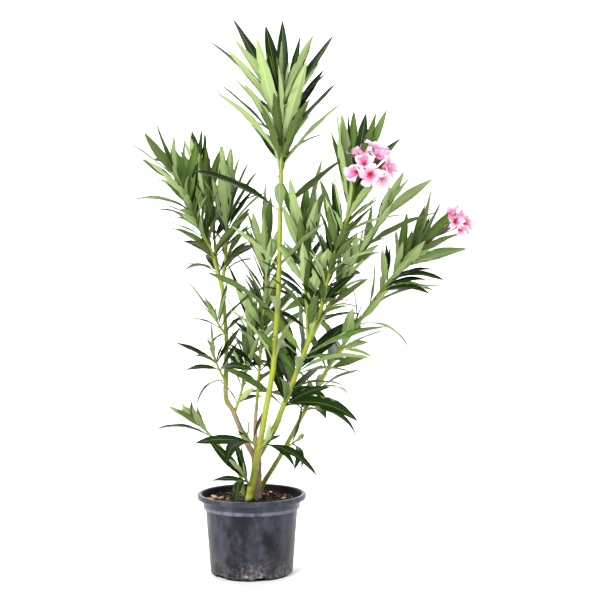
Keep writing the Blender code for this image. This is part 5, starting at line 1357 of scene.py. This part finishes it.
def leaf_finishes(leaf):
    """Edge, middle and rib of an old, a grown and a young leaf, then three undersides, each with its rib. The
    old leaf's deep green and the dull underside are also painted shade.
    """
    finishes = []
    for age, upper in (("old", leaf.deep_and_shaded), ("grown", leaf.middle), ("young", leaf.fresh)):
        middle = [1.25 * part for part in upper]
        rib = [0.55 * up + 0.45 * part for up, part in zip(upper, leaf.midrib)]
        for band, colour, roughness, gloss in (
            ("edge", upper, 0.42, 0.09), ("middle", middle, 0.36, 0.12), ("rib", rib, 0.50, 0.10),
        ):
            finishes.append(plain_finish(f"{age}_leaf_{band}", colour, roughness, gloss=gloss))
    for kind, under in (("dull_and_shaded", leaf.dull_and_shaded), ("pale", leaf.pale), ("light", leaf.light)):
        rib = [min(1.35 * part, 1) for part in under]
        finishes.append(plain_finish(f"{kind}_underside", under, 0.60, gloss=0.08))
        finishes.append(plain_finish(f"{kind}_rib_below", rib, 0.55, gloss=0.08))
    return finishes


def dealt_shades(bands, age, under):
    """The finish of every face: its band of the leaf's age above, or of its underside, both from 0 to 2,
    where the dark steps are partly painted shade and the light steps partly painted light.
    """
    return np.where(bands < 3, bands + 3 * age, 6 + bands + 2 * under)


SLIMMER = {"crown_top": 0.86}  # width of a mass's blades, over the usual
USUAL_FRESHNESS = 0.55
FRESHNESS_SPREAD = 0.28  # the most that one leaf is fresher or duller than its whorl
AGE_STEPS = (0.27, 0.70)  # freshness from which a leaf is grown, and young
UNDER_STEPS = (0.30, 0.66)  # draws from which an underside is pale, and light
# Freshness also deals painted light and shade: the crown's low value darkens its core, which stands in
# shadow.
FRESHNESS_AND_PAINTED_SHADE = {  # how fresh the topmost leaves of a mass are, where it isn't the usual
    "crown_top": 0.15, "tuft_far_left": 0.75, "tuft_left_back": 0.10, "tuft_middle": 0.40,
    "tuft_right_front": 0.50, "tuft_inner_low": 0.40, "sprig_front_left": -0.1, "sprig_front_right": 0.1,
    "sprig_base": -0.1,
}
# These tones are partly painted light and shade: a first leaf is dark where it stands in shadow and light
# where it is lit, and the same number sets its age and its underside.
LEADING_TONES_AND_PAINTED_LIGHT = {  # shade of a mass's first leaves, from 0 for dark to 2 for light
    "crown_top": "2220011202002000100", "foliage_front": "1121122200", "foliage_right": "010101011",
    "tuft_right_back": "01100011", "tuft_right_front": "11102111110010", "tuft_far_right": "110110011000",
    "sprig_base": "0",
}


def make_leaves(leaf):
    _, leaves = grown()
    finishes = leaf_finishes(leaf)
    for name, shoot in SHOOTS.items():
        blades, ranks = zip(*leaves[name])
        spread = leaf.spread * SLIMMER.get(name, 1.0)
        points, faces, bands, ends = leaf_skin(
            blades, leaf.rows, leaf.thickness, leaf.rib, leaf.stalk, leaf.fold, spread, shoot.seed)
        draws = np.random.default_rng(shoot.seed + 3)
        ranks = np.array(ranks)[:, None]
        fresh = ranks * FRESHNESS_AND_PAINTED_SHADE.get(name, USUAL_FRESHNESS)
        fresh = fresh + draws.uniform(-FRESHNESS_SPREAD, FRESHNESS_SPREAD, ranks.shape)
        age = np.digitize(fresh, AGE_STEPS)
        under = np.digitize(draws.uniform(0, 1, ranks.shape) + 0.45 * (fresh - 0.4), UNDER_STEPS)
        # First leaves take their listed tone, which is painted light and shade as well as age.
        for number, shade in enumerate(LEADING_TONES_AND_PAINTED_LIGHT.get(name, "")):
            age[number] = under[number] = int(shade)
        shades = np.concatenate([dealt_shades(part, age, under).ravel() for part in (bands, ends)])
        made = add_piece(f"{name}_leaves", points, faces, finishes, shades, math.radians(55))
        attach(made, "root")


# ---------------------------------------------------------------- blossom parts
ASLANT = (0.1, 0.2, 1.0)  # a direction that no flower faces, which frames are set square to
PETAL_ACROSS = (-1.0, -0.5, 0.0, 0.5, 1.0, 0.5, 0.0, -0.5)
PETAL_BELOW = (0, 0, 0, 0, 0, 1, 1, 1)
PETAL_SHADES = (0, 1, 2, 2, 3, 3, 4, 4)  # finish from the throat to the edge


def floret_frames(sites):
    """Throat, facing, and two directions square to the facing, for every floret."""
    throat, facing = (np.array([site[k] for site in sites]) for k in range(2))
    right = units(np.cross(facing, ASLANT))
    return throat, facing, right, np.cross(right, facing)


def petal_skin(sites, radius, thickness, rows, seed):
    """Five petals a floret, each a closed shell on a grid of (s, t), in the floret's own directions.

    Outwards: R (0.10 + 0.95 s). Forwards: R (-0.50 (1 - s)^2.5 + 0.12 s - 0.24 s^2 + 0.10 s t^2) and a
    ruffle. Sideways: 0.20 R s^2 + t w(s), where w grows to 0.39 R and rounds off to the edge. A floret
    that isn't fully open turns c of its outward way forwards.
    """
    draws = np.random.default_rng(seed)
    florets, number = len(sites), len(sites) * PETALS
    s = np.linspace(0, 0.985, rows)[None, :, None]
    t = np.array(PETAL_ACROSS)[None, None]
    below = np.array(PETAL_BELOW)[None, None]
    widest = 0.70
    w = 0.12 + 0.27 * np.sin(math.pi / 2 * np.minimum(s / widest, 1))
    w = w * np.sqrt(np.clip(1 - (np.maximum(s - widest, 0) / (1 - widest)) ** 2, 0.02, 1))
    shift = draws.uniform(-1, 1, (number, 1, 1))
    long_by = 1 + 0.07 * draws.uniform(-1, 1, (number, 1, 1))
    closed = draws.choice((0.0, 0.15, 0.35, 0.65), florets, p=(0.3, 0.3, 0.25, 0.15))
    closed = np.repeat(closed, PETALS)[:, None, None]
    grown_by = np.repeat(draws.uniform(0.86, 1.10, florets), PETALS)[:, None, None]
    out = 0.10 + 0.95 * s * long_by * (1 - 0.6 * closed) + 0 * t
    ahead = -0.50 * (1 - s) ** 2.5 + (0.12 + closed) * s - (0.24 + 0.16 * shift) * s**2 + 0.10 * s * t**2
    ahead = ahead + 0.085 * s**2 * np.sin(3.1 * t + 3 * shift) - below * thickness / radius
    grid = np.stack([out, ahead, np.broadcast_to(0.20 * s**2 + t * w, out.shape)], axis=-1)
    heart, edge = grid[:, 0, 2:3], grid[:, -1, 2:3] + (0.02, 0, 0)
    local = radius * grown_by * np.concatenate([grid.reshape(number, -1, 3), heart, edge], axis=1)
    fifths = np.tile(np.arange(PETALS), florets) * math.tau / PETALS
    turn = (np.repeat(draws.uniform(0, math.tau, florets), PETALS) + fifths)[:, None, None]
    throat, facing, right, above = (np.repeat(way, PETALS, axis=0)[:, None] for way in floret_frames(sites))
    cos, sin = np.cos(turn), np.sin(turn)
    radial, tangential = cos * right + sin * above, cos * above - sin * right
    points = throat + local[..., :1] * radial + local[..., 1:2] * facing + local[..., 2:] * tangential
    ring = len(PETAL_ACROSS)
    bands = np.interp(np.arange(rows - 1), np.linspace(0, rows - 2, len(PETAL_SHADES)), PETAL_SHADES).round()
    deeper = np.repeat(draws.choice((0, 1), florets, p=(0.75, 0.25)), PETALS)[:, None]
    shades = np.repeat(bands, ring)[None] - deeper
    ends = np.repeat((PETAL_SHADES[0], PETAL_SHADES[-1]), ring)[None] - deeper
    shades = np.maximum(np.concatenate([shades.ravel(), ends.ravel()]), 0)
    return points, shell_faces(rows, ring, number, points.shape[1]), shades


def turned_skins(centres, axes, profile, sides, grooves=0.0):
    """Turned bodies: point (u, v) = centre + z(u) axis + r(u) (1 + grooves cos(5v - 9u)) ring(v)."""
    profile = np.array(profile)
    across = units(np.cross(axes, ASLANT))
    over = np.cross(axes, across)
    turn = np.linspace(0, math.tau, sides, endpoint=False)
    u = np.linspace(0, 1, len(profile) - 2)[:, None]
    radius = profile[1:-1, :1] * (1 + grooves * np.cos(5 * turn - 9 * u))
    cos, sin = np.cos(turn)[None, None, :, None], np.sin(turn)[None, None, :, None]
    ring = cos * across[:, None, None] + sin * over[:, None, None]
    line = centres[:, None] + profile[None, 1:-1, 1:] * axes[:, None]
    grid = line[:, :, None] + radius[None, ..., None] * ring
    poles = centres[:, None] + profile[None, [0, -1], 1:] * axes[:, None]
    points = np.concatenate([grid.reshape(len(centres), -1, 3), poles], axis=1)
    return points, shell_faces(len(profile) - 2, sides, len(centres), points.shape[1])


def joined(parts):
    """Several (points, faces) as one."""
    points, faces, start = [], [], 0
    for part_points, part_faces in parts:
        part_points = np.asarray(part_points).reshape(-1, 3)
        faces += [group + start for group in part_faces]
        start += len(part_points)
        points.append(part_points)
    return np.vstack(points), faces


def stalks(starts, stops, bend, radius, sides=6, rows=7):
    """Thin stalks, each a quadratic curve that leaves its start along `bend`."""
    parts = []
    share = np.linspace(0, 1, rows)[:, None]
    for start, stop in zip(starts, stops):
        middle = (start + stop) / 2 + bend * np.linalg.norm(stop - start) * 0.22
        line = arc(start, middle, stop, share)
        radii = np.full((rows, sides), radius) * np.linspace(1.15, 0.85, rows)[:, None]
        radii[[0, -1]] *= 0.1
        grid = swept(line, radii)
        points = np.vstack([grid.reshape(-1, 3), line[0], line[-1]])
        parts.append((points, shell_faces(rows, sides)))
    return parts


def small_blades(centres, axes, rights, overs, number, foot, reach, width, flare):
    """Little pointed blades in a ring round each axis, `foot` out from it and down: sepals and fringes."""
    blades = []
    for centre, axis, right, over in zip(centres, axes, rights, overs):
        for turn in np.arange(number) * math.tau / number:
            out = right * math.cos(turn) + over * math.sin(turn)
            root = centre + foot[0] * out - foot[1] * axis
            offset = reach * unit(axis + flare * out)
            side = unit(np.cross(offset, out))
            blades.append(Leaf(root, root + offset, 0.06 * reach * out, side, width))
    return blades


PETAL_TINTS = ("rose", "pink", "blush", "white")
OPENED = 1.22  # radius of an open flower over the solid one's
FUNNEL = ((0, -1.30), (0.035, -1.29), (0.06, -1.1), (0.075, -0.85), (0.14, -0.52), (0.16, -0.47),
          (0.12, -0.50), (0.06, -0.72), (0.02, -0.80), (0, -0.80))  # a flower's tube: radius, height


def make_bloom(name, shoot, tube, blossom, finishes):
    """One cluster: open florets on their stalks, and closed buds among them."""
    bloom, tip = shoot.bloom, tube.points[-1]
    hub, sites = bloom_sites(bloom, tip)
    radius = FLORET_RADIUS * bloom.size * OPENED
    draws = np.random.default_rng(bloom.seed + 40)
    throat, facing, right, above = floret_frames(sites)
    petals = petal_skin(sites, radius, blossom.petal_thickness, blossom.petal_rows, bloom.seed)
    tubes = turned_skins(throat, facing, np.array(FUNNEL) * radius, 10)
    foot = (0.15 * radius, 0.42 * radius)
    fringe = small_blades(throat, facing, right, above, 10, foot, 0.34 * radius, 0.0016, 0.45)
    fringe = leaf_skin(fringe, 4, 0.0003, 0.0, 0.0002, 0.1, 1.0, 3)[:2]
    bud_count = max(2, round(blossom.buds * bloom.florets / 8))
    ways = draws.normal(size=(bud_count, 3)) * (1.0, 0.6, 0.8)
    ways = units(np.array(bloom.facing) * 0.4 + ways + (0, 0, 0.35))
    buds = hub + ways * bloom.spread * draws.uniform(0.75, 1.05, (bud_count, 1))
    grow_up = np.linspace(0, 1, 11)
    spindle = np.stack([0.17 * np.sin(math.pi * grow_up**0.72) ** 1.1, -0.2 + 1.15 * grow_up], axis=1)
    spindle *= radius
    spindle[[0, -1], 0] = 0
    feet = np.vstack([throat - facing * radius * 1.28, buds - ways * radius * 0.18])
    fork = tip + 0.4 * (hub - tip)
    ahead = unit(hub - tip)
    pedicels = stalks([fork] * len(feet), feet, ahead, PEDICEL_RADIUS * 0.8)
    along_tube = unit(tube.points[-1] - tube.points[-2])
    pedicels += stalks([tip - 0.006 * ahead], [fork], along_tube, PEDICEL_RADIUS * 1.5)
    backs = np.vstack([facing, ways])
    sides = units(np.cross(backs, ASLANT))
    sepals = small_blades(feet, backs, sides, np.cross(sides, backs), 5, (0, 0), 0.34 * radius, 0.0022, 0.30)
    sepals = leaf_skin(sepals, 5, 0.0004, 0.0, 0.0005, 0.1, 1.0, 4)[:2]
    parts = {
        "petals": (*petals, ("throat", *PETAL_TINTS)),
        "throats": (*joined([tubes, fringe]), None, ("throat",)),
        "buds": (*turned_skins(buds, ways, spindle, 14, 0.10), None, ("rose",)),
        "stalks": (*joined([*pedicels, sepals]), None, ("stalk",)),
    }
    for kind, (points, faces, shades, skins) in parts.items():
        skins = [finishes[skin] for skin in skins]
        made = add_piece(f"{name}_{kind}", points, faces, skins, shades, math.radians(60))
        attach(made, "root")


def make_blossom(blossom):
    tubes, _ = grown()
    finishes = {"throat": plain_finish("flower_throat", blossom.throat, 0.55, sheen=0.1)}
    for kind in PETAL_TINTS:
        finishes[kind] = plain_finish(f"petal_{kind}", getattr(blossom, kind), 0.55, sheen=0.1)
    finishes["stalk"] = plain_finish("flower_stalk", blossom.stalk, 0.50)
    for name, shoot in SHOOTS.items():
        if shoot.bloom:
            make_bloom(name, shoot, tubes[name], blossom, finishes)


# ---------------------------------------------------------------- stage
def make_stage(stage):
    """A pale floor that curves up into a backdrop, an even sky, three soft lights and the camera."""
    reach, front, bend, top, columns = 4.0, 2.2, 0.9, 3.4, 9
    turn = np.linspace(0, math.pi / 2, 16)
    profile = np.vstack([
        np.stack([np.linspace(-reach, front, 12), np.zeros(12)], axis=1),
        np.stack([front + bend * np.sin(turn), bend * (1 - np.cos(turn))], axis=1),
        np.stack([np.full(6, front + bend), np.linspace(bend, top, 7)[1:]], axis=1),
    ])
    x, y = np.broadcast_arrays(np.linspace(-reach, reach, columns), profile[:, :1])
    grid = np.stack([x, y, np.broadcast_to(profile[:, 1:], x.shape)], axis=-1)
    start = np.arange(len(profile) - 1)[:, None] * columns + np.arange(columns - 1)
    faces = [np.stack([start, start + 1, start + columns + 1, start + columns], axis=-1).reshape(-1, 4)]
    floor = add_piece("studio_floor", grid, faces, [plain_finish("studio_white", stage.floor, 0.9)])
    world = bpy.data.worlds.new("studio_sky")
    world.use_nodes = True
    sky = world.node_tree.nodes["Background"]
    sky.inputs["Color"].default_value = (1.0, 1.0, 1.0, 1.0)
    sky.inputs["Strength"].default_value = stage.sky
    bpy.context.scene.world = world
    for name, power, spot, width, target in (
        ("key_light", stage.key, (-2.1, -2.9, 2.1), 1.8, (0.05, 0.0, 0.45)),
        ("fill_light", stage.fill, (1.8, -1.4, 1.2), 1.5, (0.05, 0.0, 0.45)),
        ("wash_light", stage.wash, (0.1, 1.1, 2.9), 2.4, (0.1, 3.1, 0.9)),
    ):
        lamp = bpy.data.lights.new(name, "AREA")
        lamp.energy = power
        lamp.size = width
        holder = bpy.data.objects.new(name, lamp)
        holder.location = spot
        aim = np.array(target) - spot
        flat = math.hypot(aim[0], aim[1])
        holder.rotation_euler = (math.pi / 2 + math.atan2(aim[2], flat), 0.0, math.atan2(-aim[0], aim[1]))
        bpy.context.scene.collection.objects.link(holder)
    lens = bpy.data.cameras.new("camera")
    lens.sensor_width = 36.0
    lens.lens = lens.sensor_width * stage.distance / stage.view_width
    camera = bpy.data.objects.new("camera", lens)
    camera.location = (stage.camera_x, -stage.distance, stage.camera_z)
    camera.rotation_euler = (math.pi / 2, 0.0, 0.0)
    bpy.context.scene.collection.objects.link(camera)
    bpy.context.scene.camera = camera
    bpy.context.scene.view_settings.view_transform = "Standard"


# ---------------------------------------------------------------- operators and panel
class OLEANDER_OT_pot(bpy.types.Operator):
    """Make the worn grower's pot"""

    bl_idname = "oleander.pot"
    bl_label = "Grower's Pot"

    def execute(self, context):
        make_pot(context.scene.oleander_pot)
        return {"FINISHED"}


class OLEANDER_OT_soil(bpy.types.Operator):
    """Make the potting soil with its crumbs and bark chips"""

    bl_idname = "oleander.soil"
    bl_label = "Potting Soil"

    def execute(self, context):
        soil = context.scene.oleander_soil
        make_soil(soil)
        make_litter(soil)
        return {"FINISHED"}


class OLEANDER_OT_limbs(bpy.types.Operator):
    """Make the trunk, stems and boughs with their bark"""

    bl_idname = "oleander.limbs"
    bl_label = "Trunk and Boughs"

    def execute(self, context):
        make_limbs(context.scene.oleander_bark)
        return {"FINISHED"}


class OLEANDER_OT_shoots(bpy.types.Operator):
    """Make the green shoots that bear the leaves"""

    bl_idname = "oleander.shoots"
    bl_label = "Green Shoots"

    def execute(self, context):
        make_shoots(context.scene.oleander_bark)
        return {"FINISHED"}


class OLEANDER_OT_leaves(bpy.types.Operator):
    """Grow the leaves of every mass of foliage"""

    bl_idname = "oleander.leaves"
    bl_label = "Leaves"

    def execute(self, context):
        make_leaves(context.scene.oleander_leaf)
        return {"FINISHED"}


class OLEANDER_OT_blossom(bpy.types.Operator):
    """Make the two clusters of flowers and buds"""

    bl_idname = "oleander.blossom"
    bl_label = "Blossom"

    def execute(self, context):
        make_blossom(context.scene.oleander_blossom)
        return {"FINISHED"}


class OLEANDER_OT_stage(bpy.types.Operator):
    """Set up the floor, the light and the camera"""

    bl_idname = "oleander.stage"
    bl_label = "Stage"

    def execute(self, context):
        make_stage(context.scene.oleander_stage)
        return {"FINISHED"}


class OLEANDER_PT_sidebar(bpy.types.Panel):
    """Sizes, colours and makers of the potted oleander"""

    bl_label = "Potted Oleander"
    bl_idname = "OLEANDER_PT_sidebar"
    bl_space_type = "VIEW_3D"
    bl_region_type = "UI"
    bl_category = "Oleander"

    def draw(self, context):
        for settings_name in SETTINGS:
            settings = getattr(context.scene, settings_name)
            box = self.layout.box()
            box.label(text=settings_name.split("_")[1].title())
            for key in settings.__annotations__:
                box.prop(settings, key)
        for maker in MAKERS:
            self.layout.operator(maker.bl_idname)


SETTINGS = {
    "oleander_pot": PotSettings,
    "oleander_soil": SoilSettings,
    "oleander_bark": BarkSettings,
    "oleander_leaf": LeafSettings,
    "oleander_blossom": BlossomSettings,
    "oleander_stage": StageSettings,
}
MAKERS = (
    OLEANDER_OT_stage,
    OLEANDER_OT_pot,
    OLEANDER_OT_soil,
    OLEANDER_OT_limbs,
    OLEANDER_OT_shoots,
    OLEANDER_OT_leaves,
    OLEANDER_OT_blossom,
)


def register():
    for cls in (*SETTINGS.values(), *MAKERS, OLEANDER_PT_sidebar):
        bpy.utils.register_class(cls)
    for name, cls in SETTINGS.items():
        setattr(bpy.types.Scene, name, PointerProperty(type=cls))


def unregister():
    for name in SETTINGS:
        delattr(bpy.types.Scene, name)
    for cls in (OLEANDER_PT_sidebar, *MAKERS[::-1], *list(SETTINGS.values())[::-1]):
        bpy.utils.unregister_class(cls)


def main():
    register()
    for maker in MAKERS:
        family, verb = maker.bl_idname.split(".")
        getattr(getattr(bpy.ops, family), verb)()


if __name__ == "__main__":
    main()
